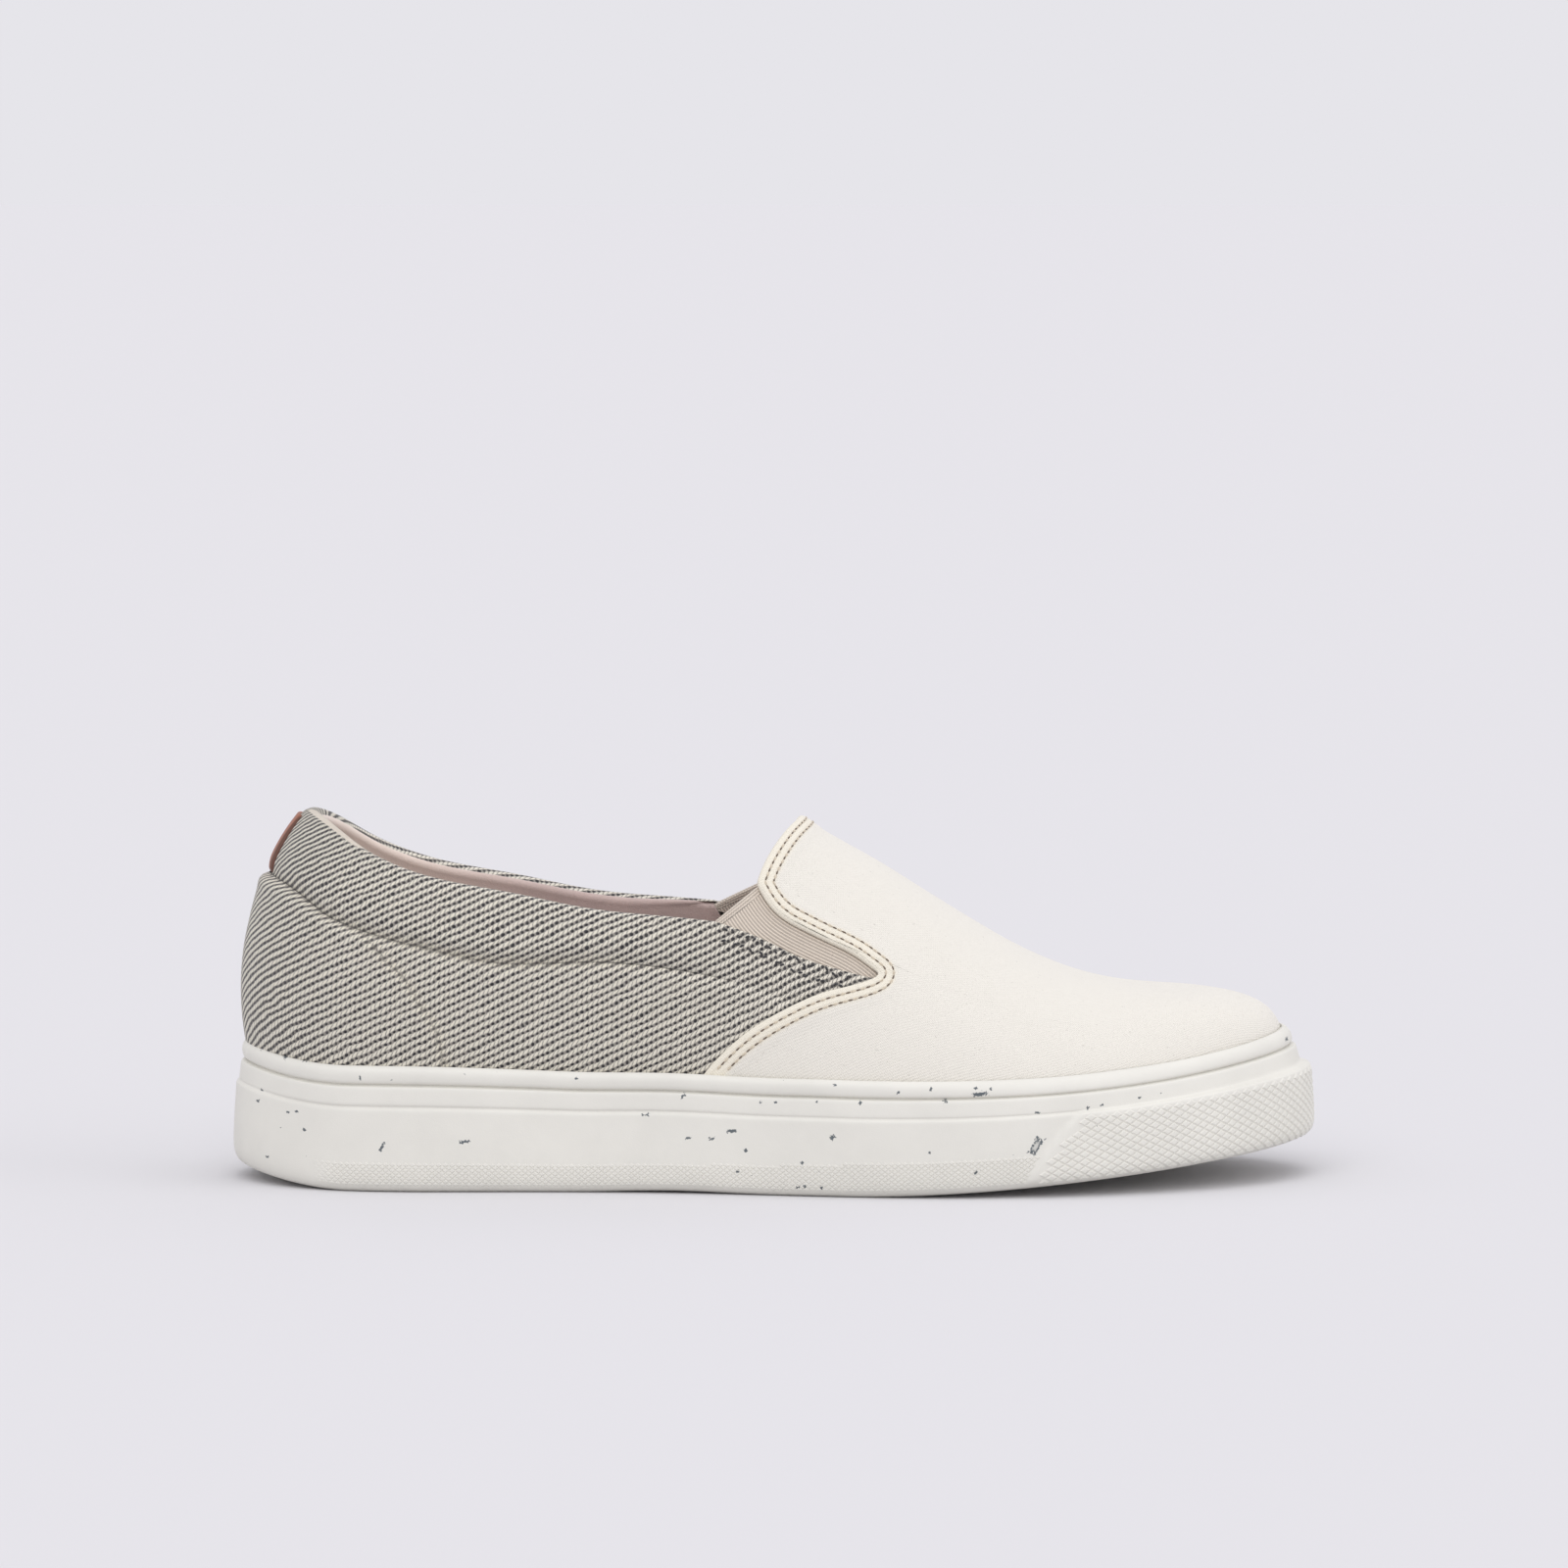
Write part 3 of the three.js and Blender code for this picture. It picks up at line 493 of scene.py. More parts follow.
def build(name, points, faces, finish, replaces=(), cloth=None, smooth_shading=True):
    """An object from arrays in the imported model's millimetres: welds points that coincide, drops faces
    without area and moves the shoe's middle to the origin."""
    points = np.asarray(points).reshape(-1, 3)
    keys = np.round(points, 4)
    _, first, inverse = np.unique(keys, axis=0, return_index=True, return_inverse=True)
    inverse = inverse.reshape(-1)
    quads = inverse[np.asarray(faces)]
    same = quads == np.roll(quads, -1, axis=1)
    whole = quads[same.sum(1) == 0]
    partly = quads[same.sum(1) == 1]
    keep = ~same[same.sum(1) == 1]
    corners = partly[keep].reshape(-1, 3)
    places = points[first] + SHIFT
    mesh = bpy.data.meshes.new(name)
    mesh.vertices.add(len(places))
    mesh.vertices.foreach_set("co", (places * MM).ravel())
    mesh.loops.add(whole.size + corners.size)
    mesh.loops.foreach_set("vertex_index", np.concatenate([whole.ravel(), corners.ravel()]))
    starts = np.concatenate([np.arange(len(whole)) * 4, whole.size + np.arange(len(corners)) * 3])
    mesh.polygons.add(len(starts))
    mesh.polygons.foreach_set("loop_start", starts)
    mesh.polygons.foreach_set("use_smooth", np.full(len(starts), smooth_shading))
    mesh.update(calc_edges=True)
    if cloth is not None:
        data = mesh.attributes.new("cloth", "FLOAT_VECTOR", "POINT")
        data.data.foreach_set("vector", np.asarray(cloth).reshape(-1, 3)[first].ravel())
    mesh.materials.append(finish)
    piece = bpy.data.objects.new(name, mesh)
    bpy.context.scene.collection.objects.link(piece)
    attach(piece, "root")
    if replaces:
        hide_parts(*replaces)
    return piece


def linear(code):
    """An sRGB hex colour as linear light."""
    parts = np.array([int(code[i:i + 2], 16) for i in (1, 3, 5)]) / 255
    return tuple(np.where(parts <= 0.04045, parts / 12.92, ((parts + 0.055) / 1.055) ** 2.4))


def dimmed(colour, share):
    """A colour times a share."""
    return [part * share for part in colour]


# Short words for the nodes in use, each with its kind and the setting that makes it so
MATHS = {
    "*": "MULTIPLY", "*+": "MULTIPLY_ADD", "+": "ADD", "-": "SUBTRACT", "/": "DIVIDE", "abs": "ABSOLUTE",
    "max": "MAXIMUM", "sin": "SINE", "cos": "COSINE", "floor": "FLOOR", "fract": "FRACT", "power": "POWER",
}
WORDS = {word: ("Math", "operation", mode) for word, mode in MATHS.items()}
WORDS |= {"vector " + word: ("VectorMath", "operation", MATHS[word]) for word in ("*", "*+", "-")}
WORDS |= {
    "length": ("VectorMath", "operation", "LENGTH"), "ramp": ("MapRange", "interpolation_type", "SMOOTHSTEP"),
    "mix": ("Mix", "data_type", "RGBA"), "shards": ("TexVoronoi", "distance", "MANHATTAN"),
    "noise": ("TexNoise", "noise_dimensions", "3D"), "split": ("SeparateXYZ", "label", "parts"),
}


def add_node(tree, kind, *values, **settings):
    """Adds a node and returns its first output. The values fill its open sockets in order, and a setting
    with a capital names its socket. A value is a number, a vector, a colour or an output to link. Places
    are in millimetres, so that a noise of scale 3 is a fibre and one of 0.1 a cloud of a centimetre."""
    name, setting, mode = WORDS.get(kind, (kind, "label", ""))
    node = tree.nodes.new("ShaderNode" + name)
    setattr(node, setting, mode)
    filled = list(zip([socket for socket in node.inputs if socket.enabled], values))
    for key, value in settings.items():
        if key[0].isupper():
            filled.append((node.inputs[key.replace("_", " ")], value))
        else:
            setattr(node, key, value)
    for socket, value in filled:
        if isinstance(value, bpy.types.NodeSocket):
            tree.links.new(value, socket)
        else:
            socket.default_value = (*value[:3], 1) if socket.type == "RGBA" else value
    return next((socket for socket in node.outputs if socket.enabled), None)


def new_material(name):
    """A material without nodes, and the function that adds nodes to it."""
    material = bpy.data.materials.new(name)
    material.use_nodes = True
    material.node_tree.nodes.clear()
    return material, partial(add_node, material.node_tree)


def finish_surface(material, colour, roughness, height, depth, sheen=0.0):
    """The surface from its colour, roughness and a bump whose height of 1 is depth millimetres."""
    add = partial(add_node, material.node_tree)
    skin = add("BsdfPrincipled", Base_Color=colour, Roughness=roughness, Sheen_Weight=sheen, Sheen_Roughness=0.6,
               Normal=add("Bump", Height=height, Distance=depth * MM, Strength=1.0))
    add("OutputMaterial", Surface=skin)
    return material


def object_millimetres(add):
    """Object coordinates in millimetres."""
    return add("vector *", add("TexCoord").node.outputs["Object"], (1 / MM,) * 3)


def cloth_place(add):
    """The cloth's own place: round the shoe, up, and the distance from the panel's edge."""
    return add("Attribute", attribute_name="cloth").node.outputs["Vector"]


def layered(add, colour, *layers):
    """A colour with layers over it, each from its share, the strength of that and its own colour."""
    for share, strength, over in layers:
        colour = add("mix", add("*", share, strength), colour, over)
    return colour


def turned(add, x, y, angle):
    """Places along and across a line that leans by an angle."""
    cosine, sine = math.cos(angle), math.sin(angle)
    along = add("*+", x, cosine, add("*", y, sine))
    return along, add("*+", x, -sine, add("*", y, cosine))


def canvas_material(colours):
    # Plain woven cotton canvas: a dull even ivory with slubs and a dry, slightly fuzzy edge
    material, add = new_material("cotton_canvas_plain_woven")
    place = cloth_place(add)
    parts = add("split", place).node.outputs
    wobble = add("noise", place, 0.4)
    threads = [add("*+", part, 2 * math.pi / CANVAS_THREADS, wobble) for part in parts[:2]]
    weave = add("*", *(add("sin", thread) for thread in threads))
    slub = add("noise", add("vector *", place, (0.18, 2.4, 0)), 1.0, 3.0)
    fine = add("noise", place, 2.2, 3.0)
    speck = add("ramp", add("noise", place, 0.9, 1.0), 0.73, 0.78)
    edge = add("ramp", parts[2], 4.8, 3.2)
    # Where the weave sinks the colour goes a little darker: painted shade
    tone = add("*+", fine, 0.3, add("*", weave, -0.11))
    tone = add("*+", slub, 0.25, tone)
    colour = add("mix", tone, colours.canvas, dimmed(colours.canvas, 0.8))
    colour = layered(add, colour, (edge, 0.55, colours.canvas_edge), (speck, 0.3, colours.twill_shade_and_speck))
    height = add("*+", weave, 0.45, add("*+", slub, 0.3, fine))
    return finish_surface(material, colour, 0.92, height, 0.11, 0.25)


def twill_material(name, colours, sizes, bold):
    # Coarse cotton twill: pale slanted floats between lines of dark dots, soft and lightly frayed, with painted
    # shade between the floats and in the grooves along the lines
    material, add = new_material(name)
    place = cloth_place(add)
    wander = add("noise", place, 0.2, 3.0).node.outputs["Color"]
    moved = add("vector *+", add("vector -", wander, (0.5, 0.5, 0.5)), (1.3, 1.3, 0), place)
    parts = add("split", moved).node.outputs
    along, across = turned(add, parts[0], parts[1], sizes.twill_slope)
    line = add("/", across, sizes.twill_lines * math.cos(sizes.twill_slope))
    row, inside = add("floor", line), add("fract", line)
    step = add("*+", row, 0.37, add("/", along, sizes.twill_dots))
    chance = add("TexWhiteNoise", add("CombineXYZ", add("floor", step), row))
    dot_x = add("/", add("-", add("fract", step), 0.5), 0.31 * bold)
    dot_y = add("/", add("-", inside, 0.3), 0.22 * bold)
    reach = add("length", add("CombineXYZ", dot_x, dot_y))
    dot = add("ramp", add("*+", chance, 0.2, reach), 1.22, 0.92)
    groove = add("ramp", add("abs", dot_y), 1.5, 0.5)
    fibre = add("noise", place, 3.0, 3.0, 0.7)
    slant = add("*+", fibre, 0.35, add("*+", inside, -1.45, step))
    slant = add("abs", add("-", add("fract", slant), 0.5))
    gap = add("ramp", slant, 0.32, 0.5)
    # Frayed edges, pale patches, the hem, and the grooves' painted shade, darker where the heel turns away
    fray = add("ramp", add("*+", fibre, 3.0, parts[2]), 4.6, 1.4)
    patch = add("ramp", add("noise", place, 0.16, 3.0, 0.6), 0.62, 0.8)
    pale = add("*", add("max", fray, patch), 0.6)
    hem = add("ramp", parts[2], 0.0, -0.8)
    kept = add("-", 1.0, hem)
    heel = add("ramp", add("abs", parts[0]), 48.0, 20.0)
    lines = add("*", groove, kept)
    strength = add("*+", chance, -0.15, 1.0)
    strength = add("*", strength, add("*+", pale, -0.5, 1.0))
    dots = add("*", dot, add("*", strength, kept))
    # Painted shade along the seams, which comes and goes with a noise
    seam_shade_reach = add("*+", add("noise", place, 0.9), 2.4, add("abs", parts[2]))
    seam = add("*", add("ramp", seam_shade_reach, 1.8, 1.1), kept)
    # Painted shade in these layers: grey between the floats and in the grooves, near black in the grooves at the
    # heel and along the seams
    colour = layered(
        add, colours.twill, (fibre, 0.5, dimmed(colours.twill, 0.72)), (pale, 0.7, colours.canvas_edge),
        (hem, 1.0, colours.hem), (add("*", gap, kept), 0.85, colours.twill_shade_and_speck),
        (lines, 0.8, colours.twill_shade_and_speck), (add("*", lines, heel), 0.45, colours.twill_dot),
        (dots, 1.0, colours.twill_dot), (seam, 0.5, colours.twill_dot),
    )
    height = add("*+", gap, -0.6, add("*+", groove, -0.6, 1.0))
    return finish_surface(material, colour, 0.9, add("*+", fibre, 0.5, height), 0.3, 0.2)


def felt_material(name, colour, heel_painted_light):
    # Brushed lining cloth: matt, with a short nap that goes pale against the light
    material, add = new_material(name)
    place = object_millimetres(add)
    nap = add("noise", place, 2.2, 4.0, 0.7)
    cloud = add("noise", place, 0.09, 3.0)
    tone = add("*+", nap, 0.6, add("*", cloud, 0.35))
    shade = add("mix", tone, dimmed(colour, 1.2), dimmed(colour, 0.66))
    # Paler towards the heel: painted light that lifts the shade on the lining behind the heel
    back = add("ramp", add("split", place), -55.0, -120.0)
    shade = layered(add, shade, (back, 1.0, heel_painted_light))
    return finish_surface(material, shade, 0.97, nap, 0.22, 0.6)


def elastic_material(colours, sizes):
    # Woven rib elastic: fine cords with a slight thread shine, and painted shade in the gaps between them
    material, add = new_material("elastic_rib_woven")
    place = cloth_place(add)
    parts = add("split", place).node.outputs
    # The cords follow the vamp's edge, and the selvedge follows the free edge
    selvedge = add("ramp", parts[2], 2.9, 2.6)
    across = add("*+", selvedge, add("-", parts[2], parts[0]), parts[0])
    wave = add("cos", add("*", across, 2 * math.pi / sizes.rib_pitch))
    cords = add("*+", wave, 0.5, 0.5)
    ticks = add("sin", add("*", parts[1], 2 * math.pi / ELASTIC_PICKS))
    fibre = add("noise", place, 1.6, 3.0)
    # Painted shade: darker colour in the gaps between the cords, where the bump is low
    shade = add("mix", cords, dimmed(colours.elastic, 0.5), colours.elastic)
    shade = layered(add, shade, (fibre, 0.35, dimmed(colours.elastic, 0.7)))
    height = add("*+", ticks, 0.12, add("+", cords, fibre))
    return finish_surface(material, shade, 0.72, height, 0.12, 0.2)


def leather_material(colours):
    # Smooth dyed leather: fine pores, a soft gloss and a darker cut edge
    material, add = new_material("leather_smooth_dyed")
    place = object_millimetres(add)
    pores = add("TexVoronoi", place, 1.7)
    cloud = add("noise", place, 0.35, 3.0)
    across = add("abs", add("split", place).node.outputs[1])
    rim = add("ramp", across, TAB_WIDTH / 2 - 0.5, TAB_WIDTH / 2 - 0.1)
    shade = layered(add, colours.leather, (cloud, 1.0, dimmed(colours.leather, 0.55)),
                    (rim, 1.0, dimmed(colours.leather, 0.3)))
    height = add("*+", pores, -0.5, add("noise", place, 5.0))
    return finish_surface(material, shade, add("*+", cloud, 0.2, 0.42), height, 0.06)


def rubber_material(colours):
    # Moulded off-white rubber: a dull satin skin with dark ground-in flecks of old rubber
    material, add = new_material("rubber_moulded_flecked")
    place = object_millimetres(add)
    bent = add("noise", place, 1.6, 4.0).node.outputs["Color"]
    moved = add("vector *+", bent, (1.1, 1.1, 1.1), place)
    # Two sets of small flecks: how big a cell is, how far it is stretched, its lean and the largest one
    small = []
    for cell, stretch, lean, largest in ((4.6, 2.0, 0.2, 0.1), (7.5, 1.6, -0.9, 0.13)):
        leaning = add("VectorRotate", moved, (0, 0, 0), (0, 1, 0), lean)
        cells = add("shards", add("vector *", leaning, (1, 1, stretch)), 1 / cell)
        pick = add("power", add("split", cells.node.outputs["Color"]), 7.0)
        inside = add("-", add("*", pick, largest), cells)
        small.append(add("ramp", inside, 0.0, 0.015))
    fleck = add("max", *small)
    # The photo's large shards on the outer side, as turned boxes with a broken edge
    parts = add("split", moved).node.outputs
    broken = add("noise", place, 1.5, 3.0, 0.6)
    outer = add("ramp", parts[1], 0.0, -1.0)
    for x, z, long, wide, lean in zip(*SHARDS.values()):
        # The noise that bends the shards moves them by half its reach
        dx, dz = add("-", parts[0], x + 0.55), add("-", parts[2], z + 0.55)
        along, across = turned(add, dx, dz, math.radians(lean))
        far = add("max", add("/", add("abs", along), long / 2),
                  add("/", add("abs", across), wide / 2))
        shard = add("ramp", add("*+", broken, 2.6, far), 2.25, 2.0)
        if wide > HOLLOW_SHARD:
            hollow = add("ramp", far, 0.3, 0.6)
            shard = add("*", shard, add("*+", hollow, 0.75, 0.25))
        fleck = add("max", fleck, add("*", outer, shard))
    cloud = add("noise", place, 0.05, 4.0, 0.6)
    shade = add("mix", cloud, dimmed(colours.rubber, 1.05), dimmed(colours.rubber, 0.9))
    shade = layered(add, shade, (fleck, 0.9, colours.fleck))
    roughness = add("*+", cloud, 0.15, 0.45)
    return finish_surface(material, shade, roughness, add("noise", place, 3.2, 3.0), 0.035)


def thread_material(name, colour):
    # Twisted sewing thread: a dull shine with a fine diagonal twist
    material, add = new_material(name)
    twist = add("TexWave", object_millimetres(add), 0.9, 1.0).node.outputs["Fac"]
    shade = layered(add, colour, (twist, 1.0, dimmed(colour, 0.6)))
    return finish_surface(material, shade, 0.7, twist, 0.06, 0.3)


def millimetres(name, description, default, low, high):
    """A length whose numbers are given in millimetres."""
    return FloatProperty(name=name, description=description, default=default * MM, min=low * MM, max=high * MM,
                         precision=5, subtype="DISTANCE", unit="LENGTH")


class ShoeSizes(bpy.types.PropertyGroup):
    """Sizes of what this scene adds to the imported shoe."""
    stitch_pitch: millimetres("Stitch pitch", "From one stitch to the next", 2.75, 1, 8)
    stitch_length: millimetres("Stitch length", "The visible thread of one stitch", 1.6, 0.5, 7)
    thread_width: millimetres("Thread width", "Thickness of the sewing thread", 0.55, 0.1, 2)
    first_row: millimetres("First stitch row", "From the vamp's edge", 1.4, 0.8, 4)
    second_row: millimetres("Second stitch row", "From the vamp's edge", 3.5, 2, 8)
    twill_lines: millimetres("Twill line spacing", "From one dotted line to the next, upwards", 2.1, 0.5, 6)
    twill_dots: millimetres("Twill dot pitch", "Along a dotted line", 1.45, 0.4, 6)
    rib_pitch: millimetres("Elastic rib pitch", "From one cord to the next", 0.8, 0.3, 3)
    band_diamond: millimetres("Band diamond width", "Small diamonds along the sole's foot", 1.75, 0.6, 4)
    bumper_diamond: millimetres("Bumper diamond width", "Diamonds of the toe bumper", 3.6, 0.8, 8)
    twill_slope: FloatProperty(name="Twill slope", description="Rise of the dotted lines towards the toe",
                               default=math.radians(26), min=0, max=1.4, subtype="ANGLE", unit="ROTATION")
    fold_depth: FloatProperty(name="Fold depth", description="Strength of the folds in the cloth, 1 as in the photo",
                              default=1, min=0, max=3, subtype="FACTOR")


def tint(name, description, code):
    """A colour whose default is given as sRGB hex."""
    return FloatVectorProperty(name=name, description=description, default=linear(code), subtype="COLOR", size=3,
                               min=0, max=1)


class ShoeColours(bpy.types.PropertyGroup):
    """Colours of the shoe's materials."""
    canvas: tint("Canvas", "Plain woven vamp", "#e7e3d9")
    canvas_edge: tint("Canvas edge", "Folded edge band and pale frayed zones", "#ede5d0")
    twill: tint("Twill", "Pale floats of the quarters and collar", "#e9e3d4")
    hem: tint("Collar hem", "Pale worn edge of the collar at the heel", "#dfd5c6")
    # Painted shade between the twill's floats and in its grooves; also the dark specks of the canvas
    twill_shade_and_speck: tint("Twill lines", "Grey lines between the dots", "#7a756f")
    # Also the colour of the painted shade along the seams and in the grooves at the heel
    twill_dot: tint("Twill dots", "Dark dots of the twill", "#1e1c20")
    rubber: tint("Rubber", "Sole", "#dfddd5")
    fleck: tint("Flecks", "Dark flecks in the rubber", "#33424c")
    elastic: tint("Elastic", "Gores", "#e3d6c6")
    leather: tint("Leather", "Heel tab", "#ab7058")
    lining: tint("Lining", "Brushed cloth inside", "#cbb4ad")
    # Painted light: a paler lining colour behind the heel, where the lining lies in shade
    lining_heel_painted_light: tint("Lining at the heel", "Worn paler lining behind the heel", "#ecdccf")
    thread: tint("Thread", "Stitching of the vamp", "#e4d6bf")
    # Painted shade: the colour of the small dark tubes that stand for the shade in the needle holes
    hole_shade: tint("Stitch holes", "Shaded needle holes between the stitches", "#6e5842")
    floor: tint("Floor", "Studio floor", "#d8d7d9")
    backdrop: tint("Backdrop", "Studio light and background", "#e6e5ea")


def settings():
    """The panel's sizes, with each length in millimetres, and its colours."""
    scene = bpy.context.scene
    sizes = {name: getattr(scene.shoe_sizes, name) for name in ShoeSizes.__annotations__}
    for name in sizes.keys() - {"twill_slope", "fold_depth"}:
        sizes[name] /= MM
    return SimpleNamespace(**sizes), scene.shoe_colours


def corner_cut(columns, rounds):
    """Rounds the corners of a polyline: each pass keeps a quarter and three quarters of every step."""
    names = list(columns)
    rows = np.stack([columns[name] for name in names], -1)
    for _ in range(rounds):
        cut = np.empty((2 * len(rows) - 2, rows.shape[1]))
        cut[0::2] = mix(rows[:-1], rows[1:], 0.25)
        cut[1::2] = mix(rows[:-1], rows[1:], 0.75)
        rows = np.vstack([rows[:1], cut[1:-1], rows[-1:]])
    return dict(zip(names, rows.T))


SIDEWALL_ROUND = corner_cut(SIDEWALL, 2)


def sole_stations(turn):
    """What the sidewall follows at each turn: the outlines of rim, cup wall and foot, outside the
    feather line."""
    at, x, y = feather(turn)
    out = outward(turn)
    rim_up = up_at(turn, lambda _: rim_height(at))
    leans = []
    for share in (0, 0.25, 0.5, 0.75, 1):
        point = last_point(turn, rim_up * share)
        leans.append((point[:, 0] - x) * out[:, 0] + (point[:, 1] - y) * out[:, 1])
    lip = RIM_LIP + GAP + PANEL_STEP * smooth(at / VAMP_START) - HEEL_DRAWN_IN * (1 - smooth(at / 0.07))
    places = np.stack([leans[-1] + lip, np.max(leans, 0) + lip, BODY_FLARE * sole_curve["flare"](at)])
    return at, np.stack([x, y], -1), out, places


STATION_TURN = np.linspace(0, 2 * np.pi, 1441)
STATIONS = sole_stations(STATION_TURN)


def sole_point(turn, up, step=0.0):
    """A point of the sidewall: its profile's row carried round the outline, with step more for the toe
    bumper where the profile has it."""
    at, plan, out, places = STATIONS
    turn = np.mod(turn, 2 * np.pi)

    def read(values):
        return np.interp(turn, STATION_TURN, values)

    here = read(at)
    follow = np.interp(up, SIDEWALL_ROUND["up"], SIDEWALL_ROUND["follow"])
    low = np.where(follow < 1, read(places[0]), read(places[1]))
    high = np.where(follow < 1, read(places[1]), read(places[2]))
    away = mix(low, high, np.where(follow < 1, follow, follow - 1))
    away += np.interp(up, SIDEWALL_ROUND["up"], SIDEWALL_ROUND["out"])
    away = away + step * np.interp(up, SIDEWALL_ROUND["up"], SIDEWALL_ROUND["bumper"])
    direction = unit(np.stack([read(out[:, 0]), read(out[:, 1])], -1))
    x = read(plan[:, 0]) + direction[..., 0] * away
    y = read(plan[:, 1]) + direction[..., 1] * away
    z = ground_height(here) + up * wall_height(here)
    return np.stack([x, y, z], -1)


def bumper_share(turn, up):
    """1 on the raised toe bumper, 0 behind its slanted end."""
    at = feather(turn)[0]
    edge = np.interp(up, BUMPER_EDGE["up"], BUMPER_EDGE["at"])
    return smooth((at - edge) * LAST_LENGTH / 1.2 + 0.5)


def make_sole():
    """The sole: the sidewall's rows from the floor to the rim, three rows down inside it, and the
    underside."""
    sizes, colours = settings()
    rubber = rubber_material(colours)
    # Columns on each side of the sole, from heel to toe
    half = 440
    turn = np.pi * np.arange(2 * half) / half
    ups = SIDEWALL_ROUND["up"][:, None]
    wall = sole_point(turn[None], ups, BUMPER_STEP * bumper_share(turn[None], ups))
    at = feather(turn)[0]
    inside = []
    for depth in (0.25, 1.5, 3.5):
        up = up_at(turn, lambda _: rim_height(at) - depth)
        point, normal, _ = last_frame(turn, up)
        inside.append(point + normal * (0.1 + PANEL_STEP * smooth((at - VAMP_START) / 0.01 + 0.5))[:, None])
    rows = np.concatenate([wall, np.stack(inside)])
    count = 2 * half
    faces = [grid_faces(len(rows), count, ring=True)]
    rungs = 24
    first = rows.shape[0] * count
    under = ladder_points(wall[0], rungs)
    faces.append(ladder_faces(np.arange(count), rungs, first, upwards=False))
    points = np.vstack([rows.reshape(-1, 3), under])
    build("sole_rubber", points, np.vstack(faces), rubber, ["cupsole"])
    make_diamonds(sizes, rubber)


def make_diamonds(sizes, rubber):
    """Low pads on the sidewall, in staggered rows: four leaning sides, a wide flat top and a floor that
    is sunk in the wall."""
    spans = (
        # at from, at to, up from, up to, width, height, how proud, on the bumper
        (0.045, 0.765, 0.07, 0.3, sizes.band_diamond, sizes.band_diamond * 0.8, 0.2, False),
        (0.7, 1.0, 0.055, 0.625, sizes.bumper_diamond, sizes.bumper_diamond * 0.655, 0.3, True),
    )
    blocks = []
    for at_from, at_to, up_from, up_to, wide, high, proud, bumper in spans:
        turns, ups = [], []
        for side in (0, 1):
            angle = np.linspace(math.acos(1 - 2 * at_from), math.acos(1 - 2 * at_to), 2000)
            path = sole_point(2 * np.pi - angle if side else angle, np.full(2000, 0.2))
            length = arc_along(path, 0)
            along = np.arange(0.5, length[-1] / wide - 0.4)
            levels = np.arange(up_from, up_to, high / 2 / SIDEWALL_HEIGHT)
            for level, up in enumerate(levels):
                place = (along + 0.5 * (level % 2)) * wide
                place = place[place < length[-1] - wide * 0.45]
                found = np.interp(place, length, angle)
                turns.append(2 * np.pi - found if side else found)
                ups.append(np.full(len(found), up))
        turn, up = np.concatenate(turns), np.concatenate(ups)
        share = bumper_share(turn, up)
        if bumper:
            keep = bumper_share(turn - 0.02 * np.sign(np.pi - turn), up) > 0.99
        else:
            keep = (share < 0.01) & (up < mix(0.245, 0.3, smooth((feather(turn)[0] - 0.42) / 0.2)))
        turn, up, share = turn[keep], up[keep], share[keep]
        step = BUMPER_STEP * share
        here = sole_point(turn, up, step)
        side_on = unit(sole_point(turn + 2e-3, up, step) - sole_point(turn - 2e-3, up, step))
        upward = unit(sole_point(turn, up + 4e-3, step) - sole_point(turn, up - 4e-3, step))
        normal = unit(np.cross(side_on, upward))
        soft = smooth((feather(turn)[0] - at_from) * LAST_LENGTH / 14)[:, None]
        # The first ones at the heel rise slowly out of the wall. Rings from the sunk floor to the top:
        corners, sunk = [], 0.2 * (1 - soft)
        for lift, size in ((-0.25, 0.98), (0.02 - sunk, 0.9), (proud * soft - sunk, 0.55)):
            for along, rise in ((-1, 0), (0, -1), (1, 0), (0, 1)):
                across = side_on * (along * wide / 2 * size) + upward * (rise * high / 2 * size)
                corners.append(here + across + normal * lift)
        blocks.append(np.stack(corners, 1))
    blocks = np.concatenate(blocks)
    pattern = np.vstack([grid_faces(3, 4, ring=True), [(8, 9, 10, 11), (3, 2, 1, 0)]])
    faces = repeated(pattern, 12, len(blocks))
    build("sole_diamonds", blocks, faces, rubber, smooth_shading=False)


def vamp_edge(count, inner):
    """The vamp's free edge from the sole up round the notch and the gore to the crown: chord-length
    splines in side view, then evenly spaced on the last."""
    foot = np.stack([VAMP_FOOT["at"], VAMP_FOOT["high"]], -1)
    front = np.stack([GORE_FRONT["at"], GORE_FRONT["high"]], -1)[::-1][1:]
    throat = np.stack([THROAT["at"], THROAT["high"]], -1)[1:]
    corners = np.vstack([foot, front, throat]) * (LAST_LENGTH, THROAT_HEIGHT)
    length = arc_along(corners, 0)
    curve_x, curve_z = natural(length, corners[:, 0]), natural(length, corners[:, 1])
    fine = np.linspace(0, length[-1], 4000)
    above = curve_z(fine) > crown_height(curve_x(fine) / LAST_LENGTH)
    end = fine[np.argmax(above & (fine > length[-1] * 0.6))]
    path = end * (1 - (1 - np.linspace(0, 1, 1200)) ** 2)
    corner = length[len(foot) + len(front) - 1]
    share = np.clip((path - corner) / (end - corner), 0, 1)
    ahead = INNER_AHEAD * inner * smooth((path - corner) / 16 + 1) * (1 - share**4)
    turn, up = on_last(curve_x(path) + ahead, curve_z(path), inner)
    up = np.maximum.accumulate(np.append(up[:-1], 1))
    arc = arc_along(last_point(turn, up), 0)
    even = np.linspace(0, arc[-1], count)
    return np.interp(even, arc, turn), np.interp(even, arc, up)


